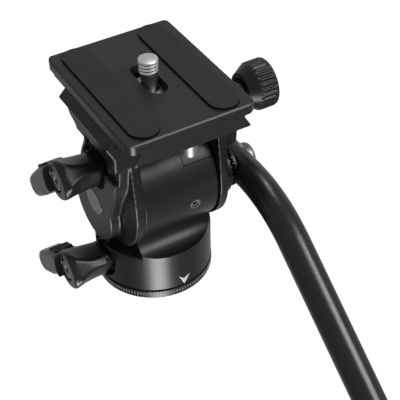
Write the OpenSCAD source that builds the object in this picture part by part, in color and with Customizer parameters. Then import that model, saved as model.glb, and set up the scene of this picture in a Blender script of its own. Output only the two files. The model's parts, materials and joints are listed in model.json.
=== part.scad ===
// Fluid video head with quick release plate, clamping levers, jaw knob and cranked pan handle.
// Millimetres. Origin at the centre of the underside, on the tripod thread axis. Z is up.
// The knob and the handle are on the +X side and the operator's side is -Y.

/* [Fits] */
// Radial play of each turning or sliding fit
running_play = 0.05; // [0.02:0.01:0.09]
// Play of each seated piece
seat_play = 0.02; // [0.01:0.01:0.05]
// Gap between bodies that pass each other
passing_gap = 0.3; // [0.2:0.05:0.8]
// Play between the dovetail and its jaws
jaw_play = 0.1; // [0.05:0.01:0.2]
// Overrun of every cut
overrun = 0.6; // [0.2:0.1:2]

/* [Tripod base] */
// Radius of the base ring
base_r = 20.1; // [18:0.1:26]
// Thickness of the base ring
base_thick = 3.25; // [2.5:0.05:6]
// Gap between base ring and pan drum
base_groove = 0.4; // [0.3:0.05:1]
// Inner wall radius of the tripod thread
thread_r = 4.76; // [3:0.01:5]
// Outer radius of the thread insert
insert_r = 6.6; // [6:0.1:8]
// Length of the thread insert
insert_length = 9; // [7:0.1:12]
// Radius of the spindle flange
flange_r = 16; // [14:0.1:18]
// Thickness of the spindle flange
flange_thick = 2; // [1.5:0.1:3]
// Radius of the pan spindle
spindle_r = 10; // [8:0.1:12]
// Radius of the threaded top of the spindle
stub_r = 6; // [4:0.1:8]
// Radius of the circle of base screws
base_screw_ring = 12.9; // [11:0.1:14]
// Shank radius of a base screw
base_screw_r = 1.25; // [1:0.05:2]
// Head radius of a base screw
base_screw_head_r = 2.4; // [2:0.1:3]
// Number of base screws
base_screws_n = 3; // [2:1:6]

/* [Pan drum] */
// Radius of the pan drum
pan_r = 20; // [18:0.1:26]
// Height of the drum's shoulder above the origin
shoulder_z = 18.4; // [15:0.1:22]
// Bush wall
bush_wall = 2; // [1:0.1:3]
// Height of each pan bush
pan_bush_height = 2.4; // [1.5:0.1:4]
// Thickness of the thrust washer
washer_thick = 0.4; // [0.3:0.05:1]
// Thickness of the spindle nut
nut_thick = 2.4; // [2:0.1:4]
// Width across the corners of the spindle nut, as a radius
nut_r = 8.6; // [7:0.1:10]

/* [Barrel] */
// Height of the tilt axis
tilt_z = 40.4; // [36:0.1:50]
// Outer radius of the tilt barrel
barrel_r = 20; // [18:0.1:24]
// Left end of the barrel
barrel_x0 = -12.3; // [-16:0.1:-8]
// Right end of the barrel
barrel_x1 = 14.9; // [10:0.1:18]
// Radius of the fillet under the barrel
cove_r = 8; // [4:0.1:10]
// Height of the centre of that fillet
cove_z = 26.5; // [22:0.1:30]
// Inner radius of the damper housing
housing_r = 16; // [14:0.1:17]
// Left wall of the damper housing
housing_wall = 3; // [2:0.1:5]
// Radius of the tilt shaft
shaft_r = 5; // [3:0.1:7]
// Wall of each tilt bush
tilt_bush_wall = 2.3; // [1:0.1:3]
// Floor and wall of the damper cup
cup_wall = 1.3; // [1:0.1:3]
// Thickness of the housing cover
cover_thick = 4; // [3:0.1:6]
// Gap between the damper's rings
grease_gap = 0.4; // [0.35:0.05:0.8]
// Thickness of each damper ring
damper_ring = 0.9; // [0.6:0.1:1.5]
// Rings on each side of the damper
damper_rings_n = 2; // [1:1:3]
// Thickness of the rotor's disc
rotor_disc = 2; // [1.5:0.1:3]
// Left end of the inlaid cover
inlay_x0 = 4; // [0:0.1:8]
// Angle of the inlaid cover's front edge above the horizontal
inlay_angle = 33.6; // [20:0.1:60]
// Thickness of the inlaid cover
inlay_thick = 1.1; // [0.8:0.1:2]
// Depth of the inlaid cover's face below the barrel
inlay_step = 0.15; // [0.1:0.05:0.5]
// Radius of the set screw in the barrel
set_screw_r = 1.5; // [1:0.1:2.5]
// Place of that set screw along the barrel
set_screw_x = 6.1; // [0:0.1:12]
// Angle of that set screw below the horizontal
set_screw_angle = 9.2; // [0:0.1:30]
// Socket radius over the corners, for a hexagon key
socket_r = 0.95; // [0.6:0.05:1.5]

/* [Yoke] */
// Outer radius of the left arm's disc
left_disc_r = 21; // [18:0.1:24]
// Outer radius of the right arm's disc
right_disc_r = 20.7; // [18:0.1:24]
// Outer side of the left arm
left_arm_x = -15.94; // [-20:0.1:-14]
// Outer side of the right arm
right_arm_x = 18.2; // [16:0.1:22]
// Rise of the concave flank on the left arm
arm_cove = 1.36; // [0.8:0.02:2]
// Outer face of the left boss with its plate
boss_x = -21; // [-26:0.1:-18]
// Thickness of the side plate
side_plate_thick = 1; // [0.6:0.1:2]
// Radius of the round foot of the boss
boss_r = 12.9; // [10:0.1:16]
// Place of the boss's foot along Y
boss_y = 1.0; // [-4:0.1:6]
// Height of the boss's foot
boss_z = 34.5; // [30:0.1:40]
// Front of the platform
platform_y0 = -19.1; // [-24:0.1:-14]
// Back of the platform
platform_y1 = 14; // [10:0.1:20]
// Gap between the barrel and the platform
platform_gap = 0.5; // [0.3:0.05:3]
// Thickness of the platform
platform_thick = 9.6; // [8:0.1:14]
// Right side of the platform
platform_x1 = 20.1; // [18:0.1:22]
// Half width of the opening under the slot
opening_half = 7.6; // [4:0.1:10]
// Front of that opening
opening_y0 = -14; // [-17:0.1:-8]
// Back of that opening
opening_y1 = 11.5; // [6:0.1:12]
// Foot of the channel to the front, above the tilt lock's axis
channel_foot = 1.7; // [0:0.1:3]
// Height of that channel
channel_height = 5.5; // [3:0.1:7]
// Depth of that channel
channel_depth = 1.5; // [0.5:0.1:3]
// Outer foot of the fixed jaw
jaw_x0 = -23.5; // [-26:0.1:-22]
// Head radius of the tilt shaft
shaft_head_r = 7; // [6:0.1:9]
// Head thickness of the tilt shaft
shaft_head_thick = 1.8; // [1:0.1:3]
// Outer side of the block under the moving jaw
block_x = 24; // [20:0.1:26]
// Depth of the block under the moving jaw
block_depth = 10.9; // [6:0.1:14]
// Front of the block and of the moving jaw
block_y0 = -17; // [-20:0.1:-12]

/* [Plate] */
// Plate width
plate_width = 44; // [40:0.1:60]
// Plate length
plate_length = 56; // [45:0.1:90]
// Middle of the plate along Y
plate_y = -2.9; // [-10:0.1:10]
// Height of the plate's top above the platform
plate_rise = 8.05; // [7:0.05:12]
// Thickness of the plate's slab
slab_thick = 3.3; // [2.5:0.1:5]
// Half width of the dovetail's throat
throat_half = 17.7; // [15:0.1:19]
// Drop of the dovetail's throat below the slab
throat_drop = 0.75; // [0.3:0.05:2]
// Half width of the dovetail's foot
foot_half = 19.8; // [18:0.1:22]
// Rise of the dovetail's widest edge above the platform
foot_rise = 0.55; // [0.2:0.05:2]
// Corner radius of the plate
plate_corner = 3.2; // [1:0.1:5]
// Chamfer of the plate's top edge
plate_chamfer = 0.5; // [0.3:0.1:1]
// Slot width
slot_width = 6.4; // [6.4:0.1:8]
// Slot length
slot_length = 17.7; // [10:0.1:30]
// Middle of the slot along X
slot_x = 0.25; // [-2:0.05:2]
// Half width of the channel under the slot
channel_half = 7.7; // [6:0.1:10]
// Front end of that channel
channel_y0 = -17; // [-22:0.1:-10]
// Pad width
pad_width = 10; // [6:0.1:14]
// Pad length
pad_length = 53.6; // [30:0.1:80]
// Pad spacing from the middle
pad_x = 13.6; // [10:0.1:16]
// Pad depth in its groove
pad_depth = 0.8; // [0.5:0.1:1.5]
// Height of the pad above the plate
pad_rise = 0.4; // [0.2:0.05:1]
// Radius of a stop pin
stop_r = 2.5; // [1.5:0.1:3]
// Length of a stop pin under the plate
stop_length = 4.2; // [3:0.1:6]
// Place of each stop pin inward from the end of the plate
stop_inset = 2.9; // [2.6:0.1:6]
// Shank radius of a stop pin's thread
stop_shank_r = 1.5; // [1:0.1:2]

/* [Camera screw] */
// Outer radius of the camera thread
camera_r = 3.175; // [3:0.005:3.2]
// Radius of the screw's neck
camera_neck_r = 2.6; // [2:0.1:2.9]
// Rise of the camera screw above the plate
camera_rise = 7.45; // [5:0.05:12]
// Length of its thread
camera_thread = 5; // [4:0.1:8]
// Head radius of the camera screw
camera_head_r = 6.6; // [5:0.1:7.5]
// Head thickness of the camera screw
camera_head_thick = 2.6; // [2:0.1:4]
// Thickness of the captive clip
clip_thick = 1.1; // [0.8:0.1:2]
// Length of the captive clip
clip_length = 13; // [8:0.1:15]
// Width of the coin slot in the screw's head
coin_slot = 1.4; // [1:0.1:2]

/* [Moving jaw and knob] */
// Outer side of the moving jaw
jaw_x1 = 24; // [22:0.1:27]
// Travel of the moving jaw
jaw_travel = 2.4; // [1:0.1:3]
// Height of the clamp screw above the underside of the platform
knob_rise = 5.4; // [4:0.1:7]
// Place of the clamp screw along Y
knob_y = -8.3; // [-12:0.1:0]
// Radius of the clamp screw
clamp_r = 2.5; // [2:0.1:3]
// Length of the clamp screw inside the platform
clamp_reach = 8.5; // [5:0.1:10]
// Radius of the knob
knob_r = 8.25; // [6:0.05:12]
// Outer end of the knob
knob_x1 = 40; // [34:0.1:48]
// Near face of the knob
knob_x0 = 32; // [26:0.1:40]
// Radius of the knob's collar
collar_r = 3.3; // [2.8:0.1:4]
// Length of the knob's cylinder
knob_rim = 6; // [2:0.1:8]
// Radius of the knob's near face
knob_nose_r = 5.5; // [4:0.1:7]
// Radius of the recess in the knob's near face
knob_recess_r = 4.5; // [3:0.1:5]
// Depth of that recess
knob_recess = 1.6; // [0.5:0.1:3]
// Number of flutes on the knob
knob_flutes_n = 28; // [12:1:36]
// Radius of a flute
flute_r = 0.62; // [0.4:0.01:1.2]
// Radius of a guide pin
guide_r = 1.6; // [1:0.1:2.5]
// Reach of a guide pin into the moving jaw
guide_reach = 3; // [2.6:0.1:3.4]

/* [Clamping levers] */
// Height of the pan lock
pan_lock_z = 11.2; // [8:0.1:14]
// Height of the tilt lock
tilt_lock_z = 52.6; // [48:0.1:58]
// Place of the tilt lock along Y
tilt_lock_y = -3; // [-10:0.1:2]
// Outer end of the pan lever
pan_lever_x = -33.6; // [-38:0.1:-30]
// Outer end of the tilt lever
tilt_lever_x = -34.4; // [-38:0.1:-30]
// Angle of the pan lever's tab below the horizontal
pan_tab_angle = 28; // [0:0.5:60]
// Angle of the tilt lever's tab below the horizontal
tilt_tab_angle = 37; // [0:0.5:60]
// Length of a lever's hub
hub_length = 15.8; // [12:0.1:20]
// Radius of the hub's round foot
hub_foot_r = 5.4; // [4:0.1:7]
// Length of that foot
hub_foot = 3; // [2.4:0.1:4]
// Height of the hub's waist above the foot
hub_waist = 8; // [6:0.1:11]
// Half height of the hub's outer end
hub_end_r = 6.85; // [5:0.05:8]
// Depth of the rim round the hub's outer end
hub_rim = 1; // [0.5:0.1:2]
// Reach of the tab from the axis to the middle of its end
tab_reach = 21.1; // [12:0.1:30]
// Radius of the tab's end
tab_end_r = 4.1; // [3:0.1:6]
// Width of the tab
tab_width = 9; // [5:0.1:10]
// Overhang of the tab past the hub's outer end
tab_overhang = 1.6; // [0:0.1:3]
// Radius of the recess round a lever's foot
lever_recess_r = 7.4; // [6:0.1:9]
// Radius of the scoop under the tab
scoop_r = 10.7; // [4:0.1:20]
// Thickness of the tab above the scoop's deepest place
scoop_rest = 3; // [2:0.1:5]
// Number of ribs on the tab
tab_ribs_n = 3; // [2:1:5]
// Spacing of the ribs
rib_pitch = 2.3; // [1.5:0.1:4]
// Radius of a rib
rib_r = 0.7; // [0.4:0.05:1]
// Lift of a lever that frees its spline
lever_lift = 2.4; // [2:0.1:4]
// Length of the spline
spline_length = 2.2; // [1.5:0.1:2.3]
// Root radius of the spline
spline_r = 3; // [2:0.1:4]
// Number of splines
splines_n = 12; // [6:1:18]
// Thread radius of a lock stud
stud_r = 2.5; // [2:0.1:3]
// Radius of a lever's spring chamber
spring_chamber_r = 3.6; // [3:0.1:4.2]
// Radius of the lever screw's shank
lever_screw_r = 1.5; // [1:0.1:2]
// Head radius of the lever screw
lever_screw_head_r = 3.3; // [2.5:0.1:3.6]
// Head thickness of the lever screw
lever_screw_head = 2; // [1.5:0.1:3]
// Depth of the lever screw's head in the lever
lever_screw_sink = 0.3; // [0:0.1:1]
// Thickness of the lever's inner wall
lever_wall = 1.5; // [1:0.1:2.5]
// Wire radius of a lever spring
wire_r = 0.3; // [0.2:0.05:0.4]
// Curls of a lever spring
curls = 4.5; // [3:0.5:6]
// Radius of a brake shoe
shoe_r = 3; // [2:0.1:4]
// Length of a brake shoe
shoe_length = 3; // [2:0.1:4]
// Travel of a brake shoe
shoe_travel = 0.15; // [0.1:0.01:0.2]

/* [Handle] */
// Plane of the handle tube
handle_x = 26; // [25:0.1:30]
// Height of the handle tube at its bolt
handle_z = 41.8; // [38:0.1:50]
// Place of the bolt along Y
bolt_y = -11.8; // [-14:0.1:0]
// Outer radius of the tube
tube_r = 5.2; // [4:0.1:8]
// Wall of the tube
tube_wall = 1.2; // [1:0.1:2]
// Distance from the bolt to the start of the bend
bend_start = 8.7; // [6:0.1:40]
// Radius of the bend
bend_r = 45; // [20:1:80]
// Angle of the bend
bend_angle = 36.5; // [0:0.5:60]
// Length of tube after the bend
tube_length = 165; // [80:1:300]
// Half thickness of the flat eye at the bolt
eye_half = 3.2; // [2:0.1:4]
// Length of the grip
grip_length = 98; // [60:1:140]
// Radius of the grip
grip_r = 11; // [8:0.1:15]
// Radius of the grip's collar
grip_collar_r = 9; // [7:0.1:13]
// Number of grooves on the grip
grip_grooves_n = 9; // [0:1:14]
// Radius of a groove on the grip
grip_groove_r = 1.2; // [0.5:0.1:2]
// Radius of the rosette
rosette_r = 7.6; // [6:0.1:10]
// Radius of the rosette's boss on the yoke
rosette_boss_r = 8.8; // [8:0.1:12]
// Height of the rosette's teeth
tooth_height = 0.7; // [0.4:0.1:1.2]
// Number of teeth
teeth_n = 24; // [12:1:36]
// Gap between the tips of the two rosettes
tooth_gap = 0.1; // [0.05:0.01:0.3]
// Radius of the handle bolt
bolt_r = 2.5; // [2:0.1:4]
// Head radius of the handle bolt
bolt_head_r = 4.6; // [3.5:0.1:5]
// Head thickness of the handle bolt
bolt_head = 3; // [2:0.1:5]
// Height of the bolt's head above the tube
bolt_stand = 0.9; // [0.3:0.1:2]

/* [Hidden] */

$fn = 64;
fine = 96;
small = 24;
dark = [0.1, 0.1, 0.11];
steel = [0.72, 0.72, 0.7];
bronze = [0.72, 0.56, 0.3];
rubber = [0.2, 0.2, 0.2];

pan_z0 = base_thick + base_groove;
flange_z1 = base_thick + flange_thick;
cavity_z1 = flange_z1 + washer_thick;
spindle_z1 = cavity_z1 + 2 * pan_bush_height + 2 * (shoe_r + running_play) + passing_gap;
nut_z0 = spindle_z1 + washer_thick;
nut_z1 = nut_z0 + nut_thick;
stub_z1 = nut_z1 + passing_gap;
chamber_z1 = stub_z1 + passing_gap;
bush_r = spindle_r + bush_wall;

shaft_x0 = boss_x + side_plate_thick + seat_play;
tilt_bush_r = shaft_r + tilt_bush_wall;
housing_x0 = barrel_x0 + housing_wall;
cover_x0 = barrel_x1 - cover_thick;
cup_inner_r = housing_r - seat_play - cup_wall;
ring_pitch = 2 * (damper_ring + grease_gap);
pan_foot_x = pan_lever_x + hub_length;
tilt_foot_x = tilt_lever_x + hub_length;
shoe_gap = 1.3 * shoe_travel;
pan_shoe_x0 = -spindle_r - shoe_gap - shoe_length;
tilt_shoe_x0 = barrel_x0 - shoe_gap - 0.8 * shoe_length;
rotor_x1 = cover_x0 - grease_gap;
rotor_x0 = rotor_x1 - rotor_disc;
cup_x0 = housing_x0 + cup_wall;
left_arm_inner = barrel_x0 - passing_gap;
right_arm_inner = barrel_x1 + passing_gap;
inlay_r1 = barrel_r - inlay_step;
inlay_r0 = inlay_r1 - inlay_thick;

platform_z0 = tilt_z + barrel_r + platform_gap;
platform_z1 = platform_z0 + platform_thick;
plate_z = platform_z1 + plate_rise;
slab_z = plate_z - slab_thick;
throat_z = slab_z - throat_drop;
foot_z = platform_z1 + foot_rise;
lip_z = (foot_z + throat_z) / 2;
knob_z = platform_z0 + knob_rise;
block_z = platform_z0 - block_depth;
channel_z0 = tilt_lock_z + channel_foot;
channel_z1 = channel_z0 + channel_height;
camera_top_z = plate_z + camera_rise;
camera_thread_z = camera_top_z - camera_thread;
stop_reach = plate_length / 2 - stop_inset;
stop_y = [plate_y - stop_reach, plate_y + stop_reach];
clip_z1 = slab_z - running_play;
clip_z0 = clip_z1 - clip_thick;
camera_y = plate_y;

// Solid turned about X, its profile given as x and r.
module turned_x(profile, segments = fine) {
    rotate([0, 90, 0])
    rotate_extrude($fn = segments)
    polygon([for (p = profile) [p[1], p[0]]]);
}

// Round bar along X from x0 to x1.
module bar_x(x0, x1, r, segments = $fn) {
    translate([x0, 0, 0])
    rotate([0, 90, 0])
    cylinder(r = r, h = x1 - x0, $fn = segments);
}

// Ring along X from x0 to x1.
module ring_x(x0, x1, outer, inner, segments = fine) {
    difference() {
        bar_x(x0, x1, outer, segments);
        bar_x(x0 - overrun, x1 + overrun, inner, segments);
    }
}

// Ring along Z.
module ring_z(z0, z1, outer, inner, segments = fine) {
    translate([0, 0, z0])
    difference() {
        cylinder(r = outer, h = z1 - z0, $fn = segments);
        translate([0, 0, -overrun])
        cylinder(r = inner, h = z1 - z0 + 2 * overrun, $fn = segments);
    }
}

// Slab between x0 and x1 of an outline drawn in Y and Z.
module slab_x(x0, x1) {
    translate([x0, 0, 0])
    rotate([90, 0, 90])
    linear_extrude(x1 - x0)
    children();
}

// Block between two corners.
module block(a, b) {
    translate(a)
    cube(b - a);
}

// Tripod base

module base_plate() {
    edge = 0.5;
    color(dark)
    difference() {
        rotate_extrude($fn = fine)
        polygon([[0, 0], [base_r - edge, 0], [base_r, edge], [base_r, base_thick], [0, base_thick]]);
        translate([0, 0, -overrun])
        cylinder(r = insert_r + seat_play, h = base_thick + 2 * overrun, $fn = fine);
        screw_holes();
    }
}

module at_base_screws() {
    for (i = [0 : base_screws_n - 1])
        rotate([0, 0, 30 + i * 360 / base_screws_n])
        translate([base_screw_ring, 0, 0])
        children();
}

module screw_holes() {
    at_base_screws() {
        translate([0, 0, -overrun])
        cylinder(r = base_screw_r + seat_play, h = flange_z1 + 2 * overrun, $fn = small);
        translate([0, 0, -overrun])
        cylinder(r = base_screw_head_r + seat_play, h = base_thick / 2 + overrun, $fn = small);
    }
}

module thread_insert() {
    lead = 0.5;
    color(steel)
    difference() {
        cylinder(r = insert_r, h = insert_length, $fn = fine);
        translate([0, 0, -overrun])
        cylinder(r = thread_r, h = insert_length + 2 * overrun, $fn = fine);
        translate([0, 0, insert_length - lead])
        cylinder(r1 = thread_r, r2 = thread_r + lead + overrun, h = lead + overrun, $fn = fine);
    }
}

module pan_spindle() {
    color(steel)
    difference() {
        union() {
            translate([0, 0, base_thick])
            cylinder(r = flange_r, h = flange_thick, $fn = fine);
            translate([0, 0, base_thick])
            cylinder(r = spindle_r, h = spindle_z1 - base_thick, $fn = fine);
            translate([0, 0, base_thick])
            cylinder(r = stub_r, h = stub_z1 - base_thick, $fn = fine);
        }
        translate([0, 0, base_thick - overrun])
        cylinder(r = insert_r + seat_play, h = insert_length - base_thick + overrun + seat_play, $fn = fine);
        screw_holes();
    }
}

module base_screws() {
    sink = 0.2;
    color(steel)
    at_base_screws() {
        difference() {
            translate([0, 0, sink])
            cylinder(r = base_screw_head_r, h = base_thick / 2 - sink, $fn = small);
            translate([0, 0, sink - overrun])
            cylinder(r = socket_r, h = 2 * overrun, $fn = 6);
        }
        translate([0, 0, base_thick / 2])
        cylinder(r = base_screw_r, h = flange_z1 - base_thick / 2, $fn = small);
    }
}

module pan_thrust_washer() {
    color(bronze)
    ring_z(flange_z1, flange_z1 + washer_thick - 2 * seat_play, flange_r, spindle_r + seat_play);
}

module spindle_nut() {
    color(steel) {
        difference() {
            translate([0, 0, nut_z0])
            cylinder(r = nut_r, h = nut_thick, $fn = 6);
            translate([0, 0, nut_z0 - overrun])
            cylinder(r = stub_r + seat_play, h = nut_thick + 2 * overrun, $fn = fine);
        }
        ring_z(spindle_z1 + seat_play, nut_z0, bush_r - running_play, stub_r + seat_play);
    }
}

// Pan drum with saddle and barrel

module saddle_outline() {
    half = pan_r + overrun;
    difference() {
        translate([-half, shoulder_z - overrun])
        square([2 * half, tilt_z - shoulder_z + overrun]);
        for (s = [-1, 1])
            translate([s * pan_r, cove_z])
            circle(r = cove_r, $fn = fine);
        for (s = [-1, 1])
            translate([s > 0 ? pan_r - cove_r : -half - overrun, cove_z])
            square([cove_r + 2 * overrun, tilt_z - cove_z + 2 * overrun]);
        for (s = [-1, 1])
            translate([s > 0 ? pan_r : -half - overrun, shoulder_z - 2 * overrun])
            square([2 * overrun, tilt_z - shoulder_z]);
    }
}

module pan_body() {
    edge = 0.4;
    ledge_r = pan_r - edge;
    color(dark)
    difference() {
        union() {
            rotate_extrude($fn = fine)
            polygon([[0, pan_z0], [ledge_r, pan_z0], [pan_r, pan_z0 + edge], [pan_r, shoulder_z - edge],
                [ledge_r, shoulder_z], [0, shoulder_z]]);
            intersection() {
                slab_x(barrel_x0, barrel_x1)
                saddle_outline();
                translate([0, 0, shoulder_z - overrun])
                cylinder(r = pan_r, h = tilt_z, $fn = fine);
            }
            translate([0, 0, tilt_z])
            turned_x([[barrel_x0, 0], [barrel_x0, barrel_r - edge], [barrel_x0 + edge, barrel_r],
                [barrel_x1 - edge, barrel_r], [barrel_x1, barrel_r - edge], [barrel_x1, 0]]);
        }
        spindle_space();
        barrel_space();
        lock_bore_pan();
    }
}

module spindle_space() {
    translate([0, 0, pan_z0 - overrun])
    cylinder(r = flange_r + passing_gap, h = cavity_z1 - pan_z0 + overrun, $fn = fine);
    translate([0, 0, pan_z0])
    cylinder(r = bush_r + seat_play, h = cavity_z1 + pan_bush_height - pan_z0, $fn = fine);
    translate([0, 0, pan_z0])
    cylinder(r = spindle_r + passing_gap, h = chamber_z1 - pan_z0, $fn = fine);
    translate([0, 0, spindle_z1 - pan_bush_height])
    cylinder(r = bush_r + seat_play, h = chamber_z1 - spindle_z1 + pan_bush_height, $fn = fine);
}

module barrel_space() {
    translate([0, 0, tilt_z]) {
        bar_x(housing_x0, barrel_x1 + overrun, housing_r, fine);
        bar_x(barrel_x0 - overrun, barrel_x1, tilt_bush_r + seat_play, fine);
        inlay_ring(inlay_x0, barrel_x1 + overrun, inlay_r0 - seat_play, barrel_r + overrun, 0);
        at_set_screw()
        cylinder(r = set_screw_r + seat_play, h = barrel_r - housing_r + 2 * overrun, $fn = small);
    }
}

// Part of a ring about the tilt axis, over the top of the barrel.
module inlay_ring(x0, x1, inner, outer, trim) {
    translate([x0, 0, 0])
    rotate([0, 90, 0])
    rotate([0, 0, 90 + inlay_angle + trim])
    rotate_extrude(angle = 180 - 2 * (inlay_angle + trim), $fn = fine)
    translate([inner, 0])
    square([outer - inner, x1 - x0]);
}

module at_set_screw() {
    translate([set_screw_x, 0, 0])
    rotate([90 + set_screw_angle, 0, 0])
    translate([0, 0, housing_r - overrun])
    children();
}

module lock_bore_pan() {
    translate([0, 0, pan_lock_z]) {
        bar_x(pan_shoe_x0 - passing_gap, 0, shoe_r + running_play, fine);
        bar_x(-pan_r - overrun, 0, stud_r + running_play, fine);
        bar_x(-pan_r - overrun, pan_foot_x + passing_gap, lever_recess_r, fine);
    }
}

module pan_bush_lower() {
    color(bronze)
    ring_z(cavity_z1, cavity_z1 + pan_bush_height, bush_r, spindle_r + running_play);
}

module pan_bush_upper() {
    color(bronze)
    ring_z(spindle_z1 - pan_bush_height, spindle_z1 - seat_play, bush_r, spindle_r + running_play);
}

module damper_cup() {
    color(bronze)
    translate([0, 0, tilt_z])
    difference() {
        union() {
            bar_x(housing_x0, cover_x0, housing_r - seat_play, fine);
        }
        difference() {
            bar_x(cup_x0, cover_x0 + overrun, cup_inner_r, fine);
            for (i = [0 : damper_rings_n - 1])
                ring_x(cup_x0 - overrun, rotor_x0 - grease_gap, cup_inner_r - grease_gap - damper_ring
                    - grease_gap - i * ring_pitch, cup_inner_r - ring_pitch - i * ring_pitch);
        }
        bar_x(housing_x0 - overrun, cover_x0, tilt_bush_r + seat_play, fine);
    }
}

module damper_rotor() {
    color(steel)
    translate([0, 0, tilt_z])
    difference() {
        union() {
            bar_x(rotor_x0, rotor_x1, cup_inner_r - grease_gap, fine);
            for (i = [0 : damper_rings_n - 1])
                ring_x(cup_x0 + grease_gap, rotor_x1, cup_inner_r - grease_gap - i * ring_pitch,
                    cup_inner_r - grease_gap - damper_ring - i * ring_pitch);
        }
        bar_x(rotor_x0 - overrun, rotor_x1 + overrun, shaft_r + seat_play, fine);
    }
}

module housing_cover() {
    inset = 0.1;
    color(dark)
    translate([0, 0, tilt_z])
    difference() {
        bar_x(cover_x0, barrel_x1 - inset, housing_r - seat_play, fine);
        bar_x(cover_x0 - overrun, barrel_x1 + overrun, tilt_bush_r + seat_play, fine);
    }
}

module tilt_bush_left() {
    inset = 0.1;
    color(bronze)
    translate([0, 0, tilt_z])
    ring_x(barrel_x0 + inset, cup_x0, tilt_bush_r, shaft_r + running_play);
}

module tilt_bush_right() {
    inset = 0.1;
    color(bronze)
    translate([0, 0, tilt_z])
    ring_x(cover_x0, barrel_x1 - inset, tilt_bush_r, shaft_r + running_play);
}

module barrel_cover() {
    edge_gap = 0.12;
    trim_angle = 0.35;
    color(dark)
    translate([0, 0, tilt_z])
    inlay_ring(inlay_x0 + edge_gap, barrel_x1 - edge_gap, inlay_r0, inlay_r1, trim_angle);
}

module barrel_set_screw() {
    depth = 0.5;
    color(steel)
    translate([0, 0, tilt_z])
    at_set_screw()
    difference() {
        translate([0, 0, overrun + seat_play])
        cylinder(r = set_screw_r, h = barrel_r - housing_r - depth, $fn = small);
        translate([0, 0, barrel_r - housing_r + overrun - depth - 2 * socket_r])
        cylinder(r = socket_r, h = 2 * socket_r + overrun, $fn = 6);
    }
}

// Locks, levers and brake shoes, drawn outward along +Z from the lever's foot

module pan_brake_shoe() {
    color(bronze)
    translate([0, 0, pan_lock_z])
    bar_x(pan_shoe_x0, pan_shoe_x0 + shoe_length, shoe_r, small * 2);
}

module tilt_brake_shoe() {
    color(bronze)
    translate([0, tilt_lock_y, tilt_lock_z])
    bar_x(tilt_shoe_x0, barrel_x0 - shoe_gap, shoe_r, small * 2);
}

module at_pan_lever() {
    translate([pan_foot_x, 0, pan_lock_z])
    rotate([-pan_tab_angle - 90, 0, 0])
    rotate([0, -90, 0])
    children();
}

module at_tilt_lever() {
    translate([tilt_foot_x, tilt_lock_y, tilt_lock_z])
    rotate([-tilt_tab_angle - 90, 0, 0])
    rotate([0, -90, 0])
    children();
}

module spline(z0, z1, play) {
    half = spline_r * sin(90 / splines_n) + play;
    translate([0, 0, z0])
    cylinder(r = spline_r + play, h = z1 - z0, $fn = small * 2);
    for (i = [0 : splines_n - 1])
        rotate([0, 0, i * 360 / splines_n])
        translate([0, -half, z0])
        cube([spline_r + rib_r + play, 2 * half, z1 - z0]);
}

// The stud's reach is measured inward from the lever's foot.
module lock_stud(reach) {
    color(steel)
    difference() {
        union() {
            translate([0, 0, -reach])
            cylinder(r = stud_r, h = reach + spline_length, $fn = small * 2);
            spline(running_play, spline_length, 0);
        }
        translate([0, 0, -reach / 2])
        cylinder(r = lever_screw_r + seat_play, h = reach + spline_length, $fn = small);
    }
}

module lever_screw(reach) {
    head_z = hub_length - lever_screw_sink - lever_screw_head;
    color(steel)
    difference() {
        union() {
            translate([0, 0, -reach / 2 + seat_play])
            cylinder(r = lever_screw_r, h = head_z + reach / 2, $fn = small);
            translate([0, 0, head_z])
            cylinder(r = lever_screw_head_r, h = lever_screw_head, $fn = small * 2);
        }
        translate([0, 0, head_z + lever_screw_head / 2])
        cylinder(r = lever_screw_r, h = lever_screw_head, $fn = 6);
    }
}

module lever_spring() {
    ring_steps = 8;
    z0 = spline_length + running_play + lever_wall + lever_lift / 4 + wire_r;
    z1 = hub_length - lever_screw_sink - lever_screw_head - 1.5 * wire_r;
    coil_r = (lever_screw_head_r + lever_screw_r) / 2 + wire_r;
    turns_n = curls * ring_steps;
    points = [for (i = [0 : turns_n]) for (k = [0 : 5])
        let (a = i * 360 / ring_steps, t = k * 60, r = coil_r + wire_r * cos(t))
        [r * cos(a), r * sin(a), z0 + (z1 - z0) * i / turns_n + wire_r * sin(t)]];
    sides = [for (i = [0 : turns_n - 1]) for (k = [0 : 5])
        [i * 6 + k, i * 6 + (k + 1) % 6, (i + 1) * 6 + (k + 1) % 6, (i + 1) * 6 + k]];
    ends = [[5, 4, 3, 2, 1, 0], [for (k = [0 : 5]) turns_n * 6 + k]];
    echo(str("lever spring gap between curls ", (z1 - z0) / curls - 2 * wire_r));
    color(steel)
    polyhedron(points, concat(sides, ends), convexity = 6);
}

// Sections of the hub in its own plane, as shares of hub_end_r: above the foot, at the waist, at the end.
hub_foot_share = [[0.18, -0.83], [-0.7, -0.36], [-1.06, -0.09], [-1.24, 0.3], [-0.42, 0.9], [0.6, 0.62], [0.7, -0.4]];
hub_waist_share = [[0.1, -0.8], [-0.84, -0.06], [-1.02, 0.34], [-0.42, 0.84], [0.6, 0.6], [0.66, -0.4]];
hub_end_share = [[0.1, -0.9], [-0.3, -0.96], [-0.7, -0.93], [-1.02, -0.8], [-1.18, -0.6], [-1.22, 0.56], [-1.12, 0.73],
    [-0.9, 0.85], [-0.45, 0.91], [0.3, 0.87], [0.75, 0.7], [0.95, 0.3], [0.9, -0.3], [0.55, -0.7]];

module hub_slice(z, share, thick) {
    translate([0, 0, z])
    linear_extrude(thick)
    polygon([for (p = share) p * hub_end_r]);
}

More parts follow.
